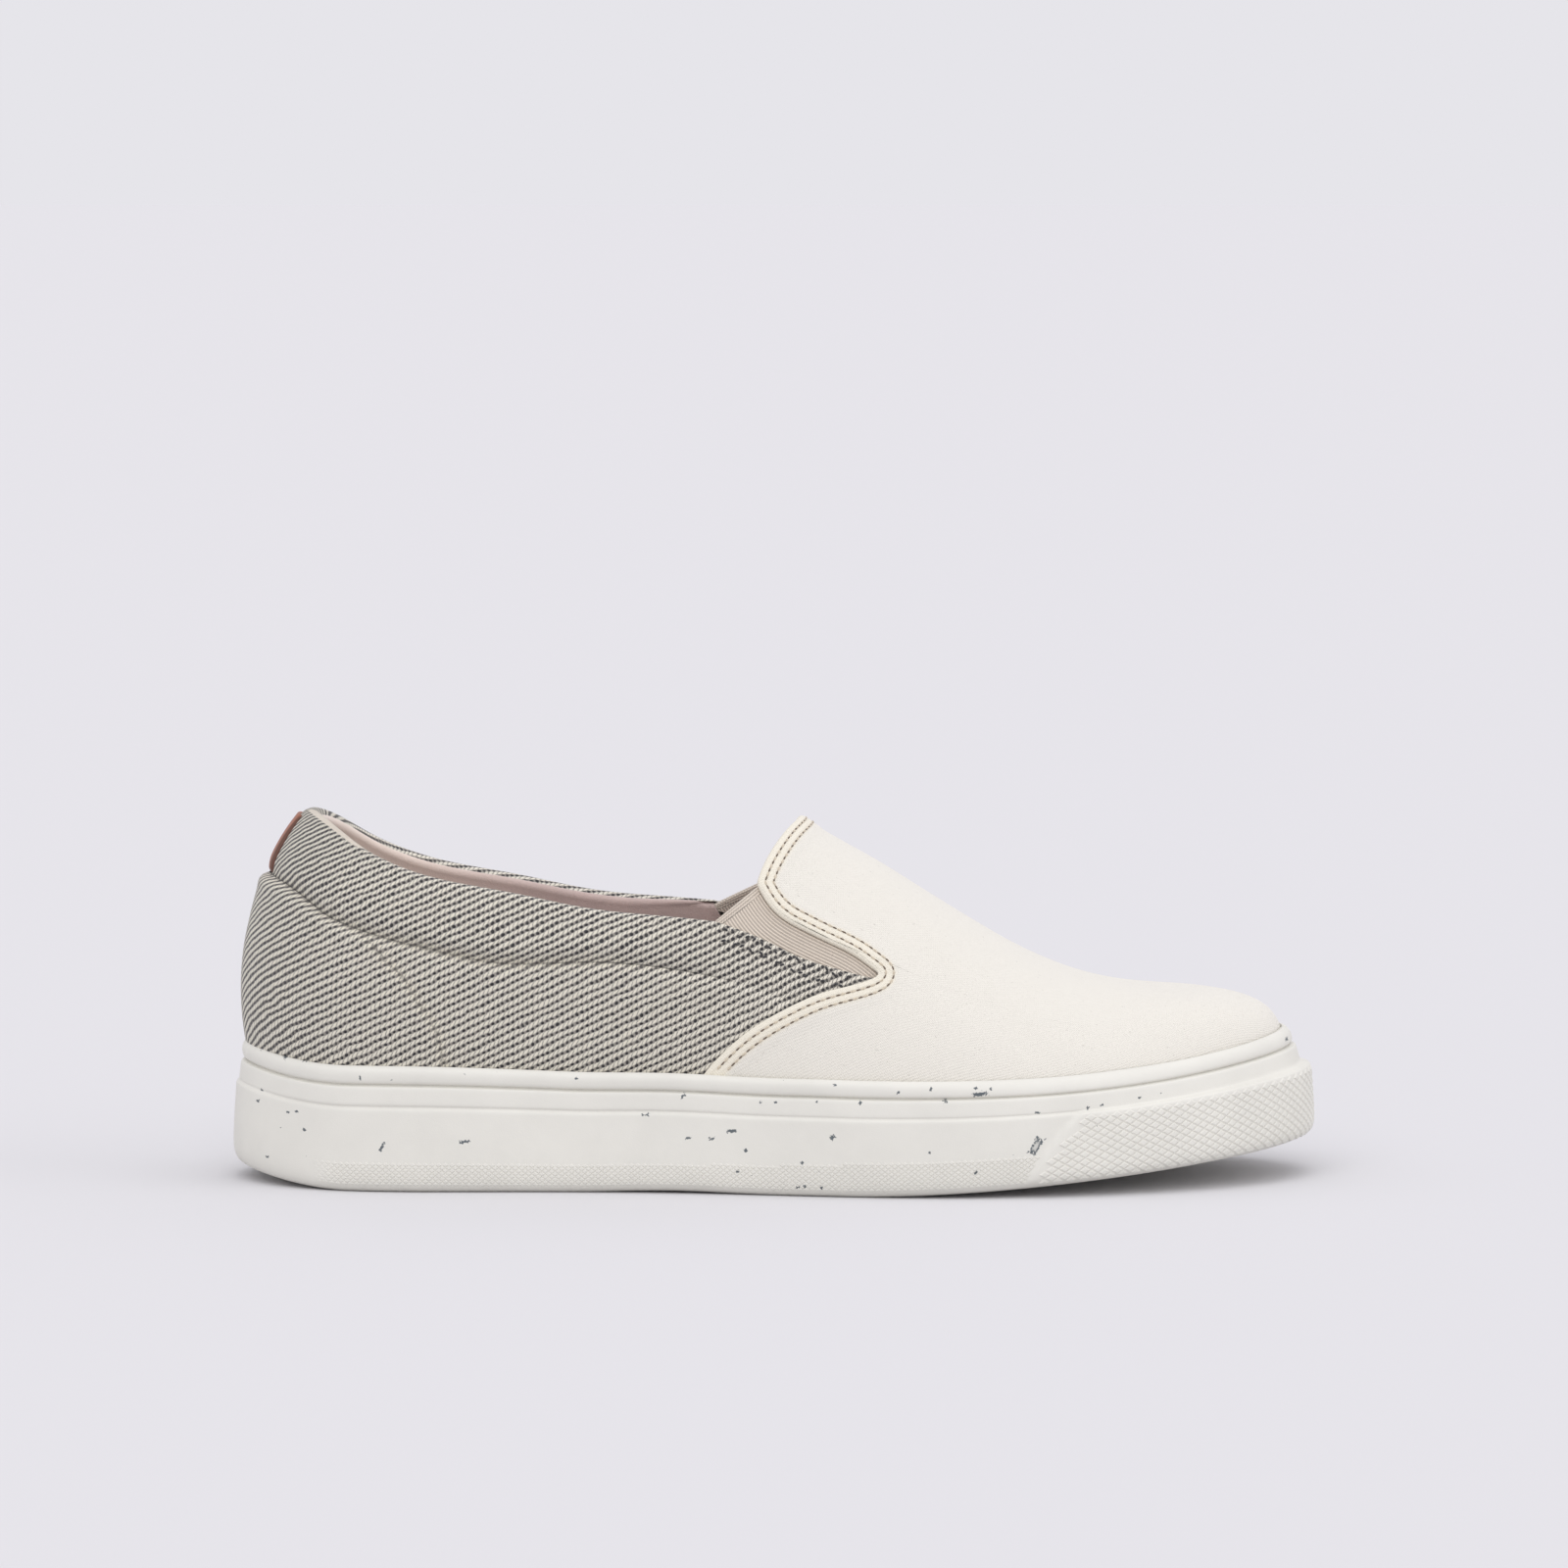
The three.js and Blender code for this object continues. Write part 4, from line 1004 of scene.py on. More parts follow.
def walk(turn, up, direction, distance):
    """Moves points over the last by a distance along a direction in its surface, in four short steps
    with the slopes at each."""
    for _ in range(4):
        step = 1e-4
        base = last_point(turn, up)
        by_turn = (last_point(turn + step, up) - base) / step
        by_up = (base - last_point(turn, up - step)) / step
        a, b = (by_turn**2).sum(-1), (by_turn * by_up).sum(-1)
        c = (by_up**2).sum(-1)
        goal = direction * (distance / 4)
        d, e = (by_turn * goal).sum(-1), (by_up * goal).sum(-1)
        det = np.maximum(a * c - b * b, 1e-9)
        turn = turn + (d * c - e * b) / det
        up = np.clip(up + (e * a - d * b) / det, 0, 1)
    return turn, up


def vamp_offset(point, away):
    """The vamp's face over the last: its step, its edge's relief, and folds further in."""
    lift = np.interp(away, EDGE_RELIEF["away"], EDGE_RELIEF["lift"])
    side = np.sign(point[..., 1] - last_curve["side"](point[..., 0] / LAST_LENGTH) * BALL_WIDTH)
    far = smooth((away - 6) / 20)
    fold = settings()[0].fold_depth
    return PANEL_STEP + lift + far * (fold * folds(point, side) + drift(point, 17, 0.16))


def edge_frame(turn, up):
    """Along the vamp's edge: the point, its normal and the direction in the surface away from the
    vamp."""
    point, normal, _ = last_frame(turn, up)
    tangent = unit(np.gradient(point, axis=0))
    away = unit(np.cross(tangent, normal))
    inside = last_point(turn + 0.03 * np.sign(np.pi - turn), up) - point
    facing = np.sign((away * inside).sum(-1, keepdims=True))
    return point, normal, -away * facing


def make_vamp():
    """The vamp: rows of equal up run from its free edge to the toe, and the two sides share the crown
    row and the toe's centre line. Its edge is rolled under by a half ellipse."""
    rows = 150
    turn, up = (over_crown(*sides) for sides in zip(vamp_edge(rows, False), vamp_edge(rows, True)))
    at = feather(turn)[0]
    near = np.concatenate([np.arange(0, 8, 0.4), np.arange(8, 16, 0.8)])
    near_at = np.minimum(at[:, None] + near / LAST_LENGTH, 0.999)
    near_turn = np.arccos(1 - 2 * near_at)
    far_share = np.linspace(0, 1, 121)[1:]
    far_turn = mix(near_turn[:, -1:], np.pi, far_share)
    columns = np.hstack([near_turn, far_turn])
    columns[rows:] = 2 * np.pi - columns[rows:]
    point, normal, _ = last_frame(columns, up[:, None])
    edge, edge_normal, away = edge_frame(turn, up)
    crown = rows - 1
    away[crown] = unit(away[crown - 1] + away[crown + 1])
    distance = distance_to(point, edge)
    offset = vamp_offset(point, distance)
    face = point + normal * offset[..., None]

    height = edge[:, 2]
    in_notch = smooth((height - 0.6 * THROAT_HEIGHT) / 3)
    at_throat = smooth((height - 0.85 * THROAT_HEIGHT) / 3)
    bottom = -(in_notch * (GORE_DEPTH + 0.1) + at_throat * (UPPER_WALL + 0.2 - GORE_DEPTH))
    top = offset[:, 0]
    middle, reach = (top + bottom) / 2, (top - bottom) / 2
    roll = []
    for angle in np.linspace(math.pi, 0, 9)[:-1]:
        lift = middle + reach * math.cos(angle)
        roll.append(edge + edge_normal * lift[:, None] + away * (EDGE_ROLL * math.sin(angle)))
    # Its turned-under hem ends 3.2 mm in, at the ninth column
    tongue = point[:, 8] + normal[:, 8] * bottom[:, None]
    points = np.concatenate([tongue[:, None], np.stack(roll, 1), face], 1)

    # The threads run along the shoe and round its girth, from the crown down
    place_at = points[..., 0] / LAST_LENGTH
    across = np.abs(points[..., 1] - last_curve["side"](place_at) * BALL_WIDTH)
    girth = crown_height(place_at) - points[..., 2] + across
    cloth = np.stack([points[..., 0], girth, np.hstack([np.zeros((len(edge), 9)), distance])], -1)
    canvas = canvas_material(settings()[1])
    build("vamp_canvas", points, grid_faces(*girth.shape)[:, ::-1], canvas, ["upper"], cloth)


def seam_groove(point, side):
    """The counter stands over the quarter behind its front seam, with a narrow groove between."""
    seam_x = np.interp(-point[..., 2], -COUNTER_SEAM["z"], COUNTER_SEAM["x"])
    ahead = point[..., 0] - seam_x
    return 0.35 * smooth(-ahead / 1.2) * smooth((70 - point[..., 0]) / 10) - 0.4 * bell(ahead / 0.55)


def seam_distance(point):
    """How far a point is from the counter's seam in side view."""
    seam = np.stack([COUNTER_SEAM["x"], COUNTER_SEAM["z"]], -1)
    path = along_path(np.linspace(0, len(seam) - 1, 90), np.arange(len(seam)), seam)
    return distance_to(point[..., [0, 2]], path)


def make_quarters():
    """Counter and quarters below the collar's seam, then the padded band above it. Both are ribs' rows
    on the last: the first falls into the seam, the second swells out of it and rolls over the top."""
    sizes, colours = settings()
    twill = twill_material("cotton_twill_dotted_woven", colours, sizes, 1.0)
    signed, turn, side, at = round_heel(QUARTER_END, 620)
    low = up_at(turn, lambda place: rim_height(place) - 3.5)
    seam = up_at(turn, band_seam)
    share = np.linspace(0, 1, 60)[:, None]
    share = mix(share, np.sin(share * np.pi / 2), 0.6)
    up = mix(low, seam, share)
    point, normal, _ = last_frame(turn, up)
    height = arc_along(point, 0)
    below = height[-1] - height
    fade = smooth(below / 4)
    strength = seam_strength(at)
    calm = mix(1, 0.4, smooth((at - 0.34) / 0.12))
    offset = calm * (-1.25 * strength * bell(below / 1.1) + 0.35 * bell((below - 3) / 1.8))
    offset += fade * (sizes.fold_depth * folds(point, side) + seam_groove(point, side) + drift(point, 13, 0.14))
    # The counter stands straighter at the very back than the last
    offset -= 0.5 * bell(at / 0.05) * smooth(below / 16)
    place = point + normal * offset[..., None]
    arc = arc_from_heel(point[-1], signed)
    level = point[-1, :, 2] - below - 5 * np.tanh(arc / 16)
    from_edge = np.minimum(below + 4 * (1 - calm), seam_distance(point))
    cloth = np.stack([np.broadcast_to(arc, below.shape), level, from_edge], -1)
    build("quarter_twill", place, grid_faces(*below.shape), twill, ["upper"], cloth)
    make_band(sizes, twill_material("cotton_twill_stretched_woven", colours, sizes, 1.13))


def roll_radius(at):
    """Half the padded roll's thickness, and ahead of the collar's corner half the folded cloth's."""
    return mix(COLLAR_ROLL / 2, 0.85, smooth((at - GORE_CORNER + 0.09) / 0.1))


def seam_strength(at):
    """The collar's seam is pulled in most near a fifth of the length."""
    return 1 + 0.6 * bell((at - 0.2) / 0.12)


def band_offset(at, share, above):
    """The band's face: sunk at its seam, swollen by the foam, and sunk again under the roll."""
    ahead = smooth((at - GORE_CORNER + 0.04) / 0.07)
    strength = seam_strength(at)
    puff = COLLAR_PUFF * np.sin(np.pi * share**0.7) * (1 - ahead - 0.75 * bell(at / 0.03))
    sunk = mix(-COLLAR_STEP, -0.15, ahead)
    seam = 0.55 * strength * (1 - ahead) + 0.4 * ahead
    return sunk + puff - seam * bell(above / 2.4) + 0.5 * (strength - 1) * bell((above - 3.8) / 2)


def make_band(sizes, twill):
    """The padded band: a swollen face, the roll over the collar's top and a hem tucked inside it."""
    signed, turn, side, at = round_heel(BAND_END, 640)
    radius = roll_radius(at)
    seam = up_at(turn, band_seam)
    top = up_at(turn, lambda place: quarter_top(place) - roll_radius(place))
    share = np.linspace(0, 1, 30)[:, None]
    up = mix(seam, top, share)
    point, normal, _ = last_frame(turn, up)
    above = arc_along(point, 0)
    offset = band_offset(at, share, above)
    calm = np.sin(np.pi * share) ** 0.5
    offset += calm * (sizes.fold_depth * folds(point, side) + drift(point, 11, 0.18))
    face = point + normal * offset[..., None]
    _, out, upward = last_frame(turn, top)
    centre = point[-1] + out * (band_offset(at, 1, above[-1]) - radius)[:, None]
    roll = []
    for angle in np.linspace(0, HEM_ANGLE, 14)[1:]:
        roll.append(centre + radius[:, None] * (out * math.cos(angle) + upward * math.sin(angle)))
    hem = [centre + (roll[-1] - centre) * keep for keep in (0.93, 0.8)]
    place = np.concatenate([face, np.stack(roll), np.stack(hem)])
    arc = arc_from_heel(point[0], signed)
    height = arc_along(place, 0)
    level = point[0, :, 2] + height - 5 * np.tanh(arc / 16)
    edge = height + 6 * smooth((at - 0.34) / 0.12)
    # A worn pale hem on the outer side of the heel
    past = height - height[len(face) + 1]
    worn = smooth(arc / 5) * (1 - smooth((at - 0.08) / 0.12))
    edge = np.where(past > 0, mix(edge, -past, worn), edge)
    cloth = np.stack([np.broadcast_to(arc, height.shape), level, edge], -1)
    piece = build("collar_band", place, grid_faces(*height.shape), twill, ["upper"], cloth)


def inner_offset(at, height):
    """The upper's inner face: its wall, and the foam behind the collar."""
    share = (height - band_seam(at)) / (collar_top(at) - band_seam(at))
    foam = (COLLAR_ROLL - UPPER_WALL) * smooth(share) * smooth((GORE_CORNER + 0.03 - at) / 0.06)
    return -(UPPER_WALL + foam)


def lining_top(at):
    """Where the lining ends: under the collar's roll, the gore's top edge and the throat's edge."""
    collar = collar_top(at) - roll_radius(at)
    throat_z = THROAT["high"] * THROAT_HEIGHT - 1
    throat_z[-2:] = (THROAT_HEIGHT, 200)
    edge = np.interp(at, THROAT["at"], throat_z)
    end, high = THROAT["at"][0], THROAT["high"][0] * THROAT_HEIGHT
    gore = mix(COLLAR_HEIGHT, high, (at - GORE_CORNER) / (end - GORE_CORNER)) - 4
    return np.where(at < GORE_CORNER, collar, np.where(at < end, gore, edge))


def make_lining():
    """The lining: the upper's inner face from below the insole to the collar's roll, and over its inner
    half."""
    colours = settings()[1]
    felt = felt_material("lining_cloth_brushed", colours.lining, colours.lining_heel_painted_light)
    turn = np.linspace(0, 2 * np.pi, 500, endpoint=False)
    ahead = np.where(turn > np.pi, INNER_AHEAD / LAST_LENGTH, 0)

    def end_height(place):
        return lining_top(np.where(place < GORE_CORNER, place, np.maximum(place - ahead, GORE_CORNER)))

    top = up_at(turn, end_height)
    top = np.where(top > 0.9999, 1, top)
    share = np.linspace(0, 1, 50)[:, None]
    point, normal, upward = last_frame(turn, top * share)
    at = feather(turn)[0]
    offset = inner_offset(point[..., 0] / LAST_LENGTH, point[..., 2]) + drift(point, 15, 0.2) * (1 - share)
    # Up to the collar's roll, over its inner half and into the seam with the band
    padded = smooth((GORE_CORNER - at) / 0.02)
    radius = roll_radius(at) * padded
    middle = band_offset(at, 1, np.full(at.shape, 9.0)) - radius
    offset = mix(offset, middle - radius, padded * smooth((share - 0.7) / 0.3))
    place = point + normal * offset[..., None]
    centre = point[-1] + normal[-1] * middle[:, None]
    over = []
    for angle in np.linspace(math.pi, HEM_ANGLE - 0.1, 12)[1:]:
        swell = radius + 0.25 * padded * math.sin((math.pi - angle) * math.pi / (math.pi - HEM_ANGLE + 0.1))
        over.append(centre + swell[:, None] * (normal[-1] * math.cos(angle) + upward[-1] * math.sin(angle)))
    over = np.where(padded[None, :, None] > 0, np.stack(over), place[-1:])
    over = np.concatenate([over, over[-1:] + (centre - over[-1:]) * 0.15 * padded[:, None]])
    place = np.concatenate([place, over])
    build("lining_cloth", place, grid_faces(len(place), 500, ring=True)[:, ::-1], felt, ["upper"])


def make_insole():
    """The insole: rings up its rounded edge, then a slightly hollow top and a flat underside."""
    colours = settings()[1]
    half = 150
    turn = np.pi * np.arange(2 * half) / half
    at, x, y = feather(turn)
    out = outward(turn)
    rings = []
    edge = UPPER_WALL + 2 * GAP
    for inset, lift in ((0.5, 0.3), (0, 0.9), (0, 3.6), (0.25, 4.3), (0.8, 4.8), (1.6, 5), (4, 4.9)):
        away = edge + inset
        z = platform_height(at) + GAP + lift
        rings.append(np.stack([x - out[:, 0] * away, y - out[:, 1] * away, z], -1))
    rings = np.stack(rings)
    rungs = 16
    count = 2 * half
    between = ladder_points(rings[-1], rungs)
    across = np.tile(np.arange(1, rungs) / rungs, half - 1)
    between[:, 2] -= 0.8 * np.sin(np.pi * across)
    under = ladder_points(rings[0], rungs)
    first = rings.shape[0] * count
    faces = np.vstack([
        grid_faces(len(rings), count, ring=True),
        ladder_faces(first - count + np.arange(count), rungs, first, upwards=True),
        ladder_faces(np.arange(count), rungs, first + len(between), upwards=False),
    ])
    points = np.vstack([rings.reshape(-1, 3), between, under])
    plain = dimmed(colours.lining, 0.94)
    felt = felt_material("insole_cloth_brushed", plain, plain)
    build("insole_cloth", points, faces, felt, ["insole"])


def make_gores():
    """The elastic gores: ruled between the quarter's edge and the vamp's edge, ribbed along the vamp's
    edge, and folded over at the free top."""
    sizes, colours = settings()
    elastic = elastic_material(colours, sizes)
    q, p = np.linspace(0, 1, 70)[:, None], np.linspace(0, 1, 120)[None]

    def edge(at, high, short=0):
        """A spline along an edge in side view, which stops short of its end."""
        rows = np.stack([at * LAST_LENGTH, high * THROAT_HEIGHT], -1)[::-1]
        run = arc_along(rows, 0)
        return [natural(run, column)(q * (run[-1] - short)) for column in rows.T]

    back = edge(GORE_BACK["at"][:-1], GORE_BACK["high"][:-1])
    for name, inner in (("gore_lateral", False), ("gore_medial", True)):
        # The inner gore's free edge lies lower, and both long edges reach under their neighbours
        front = edge(GORE_FRONT["at"], GORE_FRONT["high"], 2.2 * inner)
        x = mix(back[0] - 1, front[0] + 3 + INNER_AHEAD * inner * smooth(2 * q - 1), p)
        z = mix(back[1] - 2, front[1] + 1.2 - 3 * (1 - smooth(6 * q)), p)
        path = np.hstack(front)
        turn, up = on_last(x, z, inner)
        point, normal, upward = last_frame(turn, up)
        away = distance_to(np.stack([x, z], -1), path)
        rib = np.cos(away * 2 * np.pi / sizes.rib_pitch)
        face = point + normal * (-GORE_DEPTH + 0.09 * rib + drift(point, 8, 0.1))[..., None]
        top_up = unit(face[-1] - face[-2])
        half = GORE_THICKNESS / 2
        middle = point[-1] - normal[-1] * (GORE_DEPTH + half)
        fold = []
        for angle in np.linspace(0, math.pi, 9)[1:]:
            fold.append(middle + half * (normal[-1] * math.cos(angle) + top_up * math.sin(angle)))
        inner_face = (point - normal * (GORE_DEPTH + GORE_THICKNESS))[::-1]
        rows = np.concatenate([face, np.stack(fold), inner_face[1:]])
        ribs = np.concatenate([away, np.repeat(away[-1:], 8, 0), away[::-1][1:]])
        run = arc_along(rows, 0)
        cloth = np.stack([ribs, run, np.abs(run - run[len(face) + 3])], -1)
        faces = grid_faces(*run.shape)
        if inner:
            faces = faces[:, ::-1]
        build(name + "_elastic", rows, faces, elastic, [name], cloth)


def make_tab():
    """The heel tab: a strip up the back of the band that follows its swelling and turns over the roll,
    with a rounded edge all round."""
    leather = leather_material(settings()[1])
    up_seam = up_at(np.zeros(1), lambda place: band_seam(place) + 0.3)[0]
    roll = roll_radius(0)
    up_top = up_at(np.zeros(1), lambda place: quarter_top(place) - roll - 0.6)[0]
    share = np.linspace(0, 1, 34)[:, None]
    fan = np.linspace(-1, 1, 41)
    # How wide a small turn is half-way up gives the tab's turns
    spread = 0.12
    reach = last_point(np.array([0, spread]), (up_seam + up_top) / 2)
    half_width = np.linalg.norm(reach[1] - reach[0])
    turn = np.mod(fan * spread * TAB_WIDTH / 2 / half_width, 2 * np.pi)[None]
    point, normal, upward = last_frame(turn, mix(up_seam, up_top, share))
    above = arc_along(point, 0)
    face = band_offset(feather(turn)[0], share, above)
    edge_fall = np.sqrt(np.clip(1 - np.abs(fan) ** 8, 0, 1))[None]
    foot_fall = np.sqrt(np.clip(1 - (1 - np.clip(share * 12, 0, 1)) ** 2, 0, 1))
    proud = TAB_THICKNESS * 0.7
    thick = proud * (0.25 + 0.75 * edge_fall * foot_fall)
    outer = point + normal * (face + thick)[..., None]
    base = point + normal * (face - 0.15)[..., None]
    turned_outer, turned_base = [], []
    middle = point[-1] + normal[-1] * (face[-1] - roll)[:, None]
    end = math.radians(4)
    for angle in np.linspace(0, end, 8)[1:]:
        direction = normal[-1] * math.cos(angle) + upward[-1] * math.sin(angle)
        fall = math.sqrt(max(0, 1 - (angle / end) ** 4))
        turned_outer.append(middle + direction * (roll + proud * (0.1 + 0.9 * edge_fall[0] * fall))[:, None])
        turned_base.append(middle + direction * (roll - 0.15))
    outer = np.concatenate([outer, np.stack(turned_outer)])
    base = np.concatenate([base, np.stack(turned_base)])
    rows, columns = outer.shape[:2]
    # Outer face, then the base, joined all round
    ring = np.concatenate([outer, base[:, ::-1]], 1)
    faces = [grid_faces(rows, 2 * columns, ring=True)]
    for row, flip in ((0, True), (rows - 1, False)):
        start = row * 2 * columns
        left = start + np.arange(columns - 1)
        right = start + 2 * columns - 1 - np.arange(columns - 1)
        cap = np.stack([left, left + 1, right - 1, right], -1)
        faces.append(cap[:, ::-1] if flip else cap)
    build("heel_tab_leather", ring, np.vstack(faces), leather, ["heel_tab"])


def thread_points(centre, tangent, normal, length, width):
    """Stitches as short tubes: a ring of six carried along a low arch, thinner at both ends."""
    side = unit(np.cross(normal, tangent))
    share = np.linspace(-1, 1, 7)
    angle = np.arange(6) * np.pi / 3
    radius = width / 2 * np.sqrt(1 - 0.75 * share**4)
    lift = width * (0.55 * (1 - share**2) - 0.25)
    ring = []
    for i in range(7):
        middle = centre + tangent * (share[i] * length / 2) + normal * lift[i]
        around = [middle + radius[i] * (side * math.cos(a) + normal * math.sin(a)) for a in angle]
        ring.append(np.stack(around, 1))
    return np.stack(ring, 1).reshape(len(centre), 42, 3)


def thread_faces(count):
    """Quads of tubes with seven rings of six points, closed at both ends."""
    ends = [(3, 2, 1, 0), (5, 4, 3, 0), (36, 37, 38, 39), (36, 39, 40, 41)]
    return repeated(np.vstack([grid_faces(7, 6, ring=True), ends]), 42, count)


def sew(path, normal, pitch, length, width, uneven=0.0):
    """Stitches along a path over a face, at an even pitch or pushed about by up to uneven."""
    arc = arc_along(path, 0)
    place = np.arange(pitch / 2, arc[-1], pitch)
    place += uneven * np.sin(place * 12.9898)
    tangent = unit(along_path(place + 0.2, arc, path) - along_path(place - 0.2, arc, path))
    facing = unit(along_path(place, arc, normal))
    facing = unit(facing - tangent * (facing * tangent).sum(-1, keepdims=True))
    return thread_points(along_path(place, arc, path), tangent, facing, length, width)


def make_stitches():
    """Two rows along the vamp's edge from sole to sole, with small dark tubes of painted shade for their needle
    holes, and two of dark yarn under each gore.
    """
    sizes, colours = settings()
    cream = thread_material("cotton_thread_twisted_cream", colours.thread)
    shaded = thread_material("needle_holes_shaded", colours.hole_shade)
    dark = thread_material("cotton_yarn_twisted_dark", colours.twill_dot)
    rows, holes = [], []
    for distance in (sizes.first_row, sizes.second_row):
        halves = []
        for inner in (False, True):
            turn, up = vamp_edge(500, inner)
            _, _, away = edge_frame(turn, up)
            away[-1] = (-1, 0, 0)
            moved = walk(turn, up, -away, distance)
            point, normal, _ = last_frame(*moved)
            keep = point[:, 2] > rim_height(point[:, 0] / LAST_LENGTH) + 0.8
            halves.append((point[keep] + normal[keep] * (PANEL_STEP + 0.02), normal[keep]))
        path, normal = (over_crown(*sides) for sides in zip(*halves))
        rows.append(sew(path, normal, sizes.stitch_pitch, sizes.stitch_length, sizes.thread_width))
        # The holes' row of painted shade starts half a pitch on, so that the holes fall between the stitches
        start = arc_along(path, 0) > sizes.stitch_pitch / 2
        hole_shade = path[start] + normal[start] * 0.03
        hole_length = sizes.stitch_pitch - sizes.stitch_length + 0.2
        holes.append(sew(hole_shade, normal[start], sizes.stitch_pitch, hole_length, 0.42))
    for name, points, finish in (("vamp_stitches", rows, cream), ("stitch_hole_shade", holes, shaded)):
        points = np.concatenate(points)
        build(name, points, thread_faces(len(points)), finish)

    rows = []
    at = np.linspace(0.452, 0.578, 300)
    for inner in (False, True):
        for down, pitch, wander in ((1.5, 2.9, 0.7), (4.3, 2.7, 0.4)):
            z = quarter_top(at) - down + wander * np.sin(at * 800) * np.sin(at * 310)
            turn, up = on_last(at * LAST_LENGTH, z, inner)
            point, normal, _ = last_frame(turn, up)
            offset = band_offset(at, np.full(300, 0.6), np.full(300, 8.0)) + 0.1
            rows.append(sew(point + normal * offset[:, None], normal, pitch, 1.3, 0.62, 0.7))
    points = np.concatenate(rows)
    build("gore_stitches", points, thread_faces(len(points)), dark)


def make_stage():
    """The studio: a flat pale floor, a background of nearly its colour, three soft lights and the camera
    at the photo's angle."""
    colours = settings()[1]
    scene = bpy.context.scene
    reach = 300.0
    corners = [(-reach, -reach, 0), (reach, -reach, 0), (reach, reach, 0), (-reach, reach, 0)]
    mesh = bpy.data.meshes.new("studio_floor")
    mesh.from_pydata(corners, [], [(0, 1, 2, 3)])
    # Matt paper: even and pale, with hardly any gloss
    material, add = new_material("studio_paper_matt")
    paper = add("BsdfPrincipled", Base_Color=colours.floor, Roughness=0.9, Specular_IOR_Level=0.0)
    add("OutputMaterial", Surface=paper)
    mesh.materials.append(material)
    floor = bpy.data.objects.new("studio_floor", mesh)
    scene.collection.objects.link(floor)

    world = bpy.data.worlds.new("studio_light")
    world.use_nodes = True
    background = world.node_tree.nodes["Background"]
    background.inputs["Color"].default_value = (*colours.backdrop, 1)
    background.inputs["Strength"].default_value = 1.0
    scene.world = world
    for name, toward, angle, power in (
        ("key_light", (-0.25, -1.0, 1.0), 50, 0.9),
        ("top_light", (0.2, 0.0, 1.0), 40, 0.42),
        ("side_light", (1.0, -0.3, 0.3), 50, 0.4),
    ):
        light = bpy.data.lights.new(name, "SUN")
        light.angle = math.radians(angle)
        light.energy = power
        lamp = bpy.data.objects.new(name, light)
        lamp.rotation_euler = (-Vector(toward)).to_track_quat("-Z", "Y").to_euler()
        scene.collection.objects.link(lamp)

    # The photo is 420.3 mm wide at the shoe, from 2 m away and 6 degrees above the floor
    elevation, distance, view_width, sensor = math.radians(6), 2.0, 0.4203, 36
    middle = Vector((0, 0, 0.052))
    forward = Vector((0, math.cos(elevation), -math.sin(elevation)))
    upward = Vector((0, math.sin(elevation), math.cos(elevation)))
    camera_data = bpy.data.cameras.new("photo_camera")
    camera_data.sensor_width = sensor
    camera_data.lens = sensor * distance / view_width
    camera = bpy.data.objects.new("photo_camera", camera_data)
    camera.location = middle - forward * distance
    # The shoe stands low and slightly left in the photo
    target = middle + upward * 0.0528 + Vector((0.0026, 0, 0))
    camera.rotation_euler = (target - camera.location).to_track_quat("-Z", "Y").to_euler()
    scene.collection.objects.link(camera)
    scene.camera = camera
    scene.view_settings.view_transform = "Standard"


class SHOE_OT_sole(bpy.types.Operator):
    """Builds the rubber sole with its rim, bands and diamonds"""
    bl_idname = "shoe.sole"
    bl_label = "Sole"

    def execute(self, context):
        make_sole()
        return {"FINISHED"}


class SHOE_OT_upper(bpy.types.Operator):
    """Builds the vamp, the quarters and the collar band"""
    bl_idname = "shoe.upper"
    bl_label = "Upper"

    def execute(self, context):
        make_vamp()
        make_quarters()
        return {"FINISHED"}


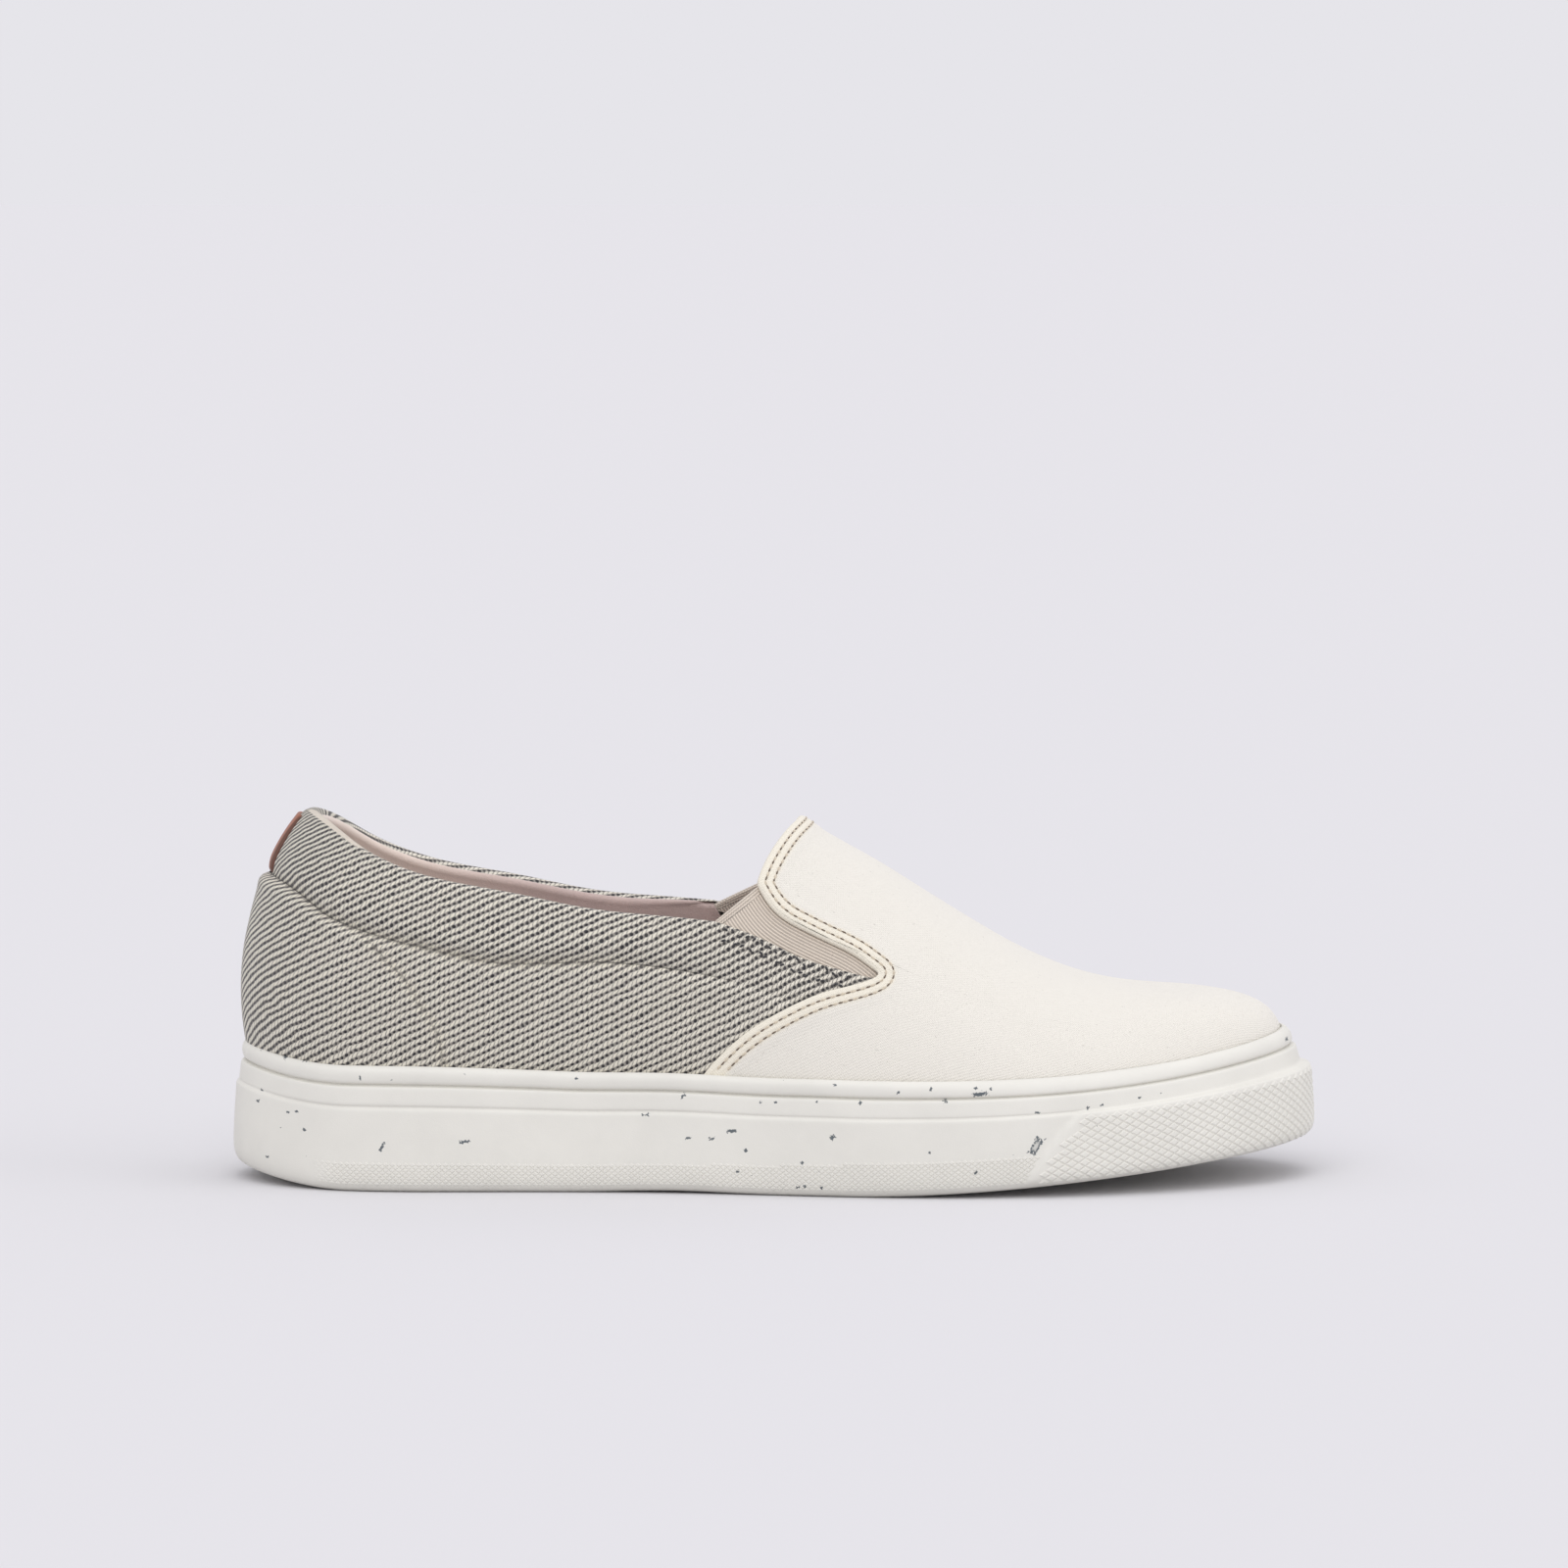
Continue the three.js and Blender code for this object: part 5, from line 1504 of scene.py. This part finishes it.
class SHOE_OT_inside(bpy.types.Operator):
    """Builds the lining and the insole"""
    bl_idname = "shoe.inside"
    bl_label = "Lining and insole"

    def execute(self, context):
        make_lining()
        make_insole()
        return {"FINISHED"}


class SHOE_OT_gores(bpy.types.Operator):
    """Builds the two elastic gores"""
    bl_idname = "shoe.gores"
    bl_label = "Gores"

    def execute(self, context):
        make_gores()
        return {"FINISHED"}


class SHOE_OT_trim(bpy.types.Operator):
    """Builds the heel tab and the stitches"""
    bl_idname = "shoe.trim"
    bl_label = "Heel tab and stitches"

    def execute(self, context):
        make_tab()
        make_stitches()
        return {"FINISHED"}


class SHOE_OT_stage(bpy.types.Operator):
    """Sets up the floor, the lights and the camera"""
    bl_idname = "shoe.stage"
    bl_label = "Studio"

    def execute(self, context):
        make_stage()
        return {"FINISHED"}


class SHOE_PT_panel(bpy.types.Panel):
    """The shoe's settings and build steps"""
    bl_label = "Slip-on sneaker"
    bl_idname = "SHOE_PT_panel"
    bl_space_type = "VIEW_3D"
    bl_region_type = "UI"
    bl_category = "Shoe"

    def draw(self, context):
        for group in (context.scene.shoe_sizes, context.scene.shoe_colours):
            for name in group.bl_rna.properties.keys():
                if name not in ("rna_type", "name"):
                    self.layout.prop(group, name)
        for operator in OPERATORS:
            self.layout.operator(operator.bl_idname)


OPERATORS = (SHOE_OT_sole, SHOE_OT_upper, SHOE_OT_inside, SHOE_OT_gores, SHOE_OT_trim, SHOE_OT_stage)
CLASSES = (ShoeSizes, ShoeColours, *OPERATORS, SHOE_PT_panel)


def register():
    for item in CLASSES:
        bpy.utils.register_class(item)
    bpy.types.Scene.shoe_sizes = PointerProperty(type=ShoeSizes)
    bpy.types.Scene.shoe_colours = PointerProperty(type=ShoeColours)


def unregister():
    del bpy.types.Scene.shoe_colours
    del bpy.types.Scene.shoe_sizes
    for item in reversed(CLASSES):
        bpy.utils.unregister_class(item)


def main():
    """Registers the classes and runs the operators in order."""
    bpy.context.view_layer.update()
    register()
    for operator in OPERATORS:
        group, name = operator.bl_idname.split(".")
        getattr(getattr(bpy.ops, group), name)()


if __name__ == "__main__":
    main()
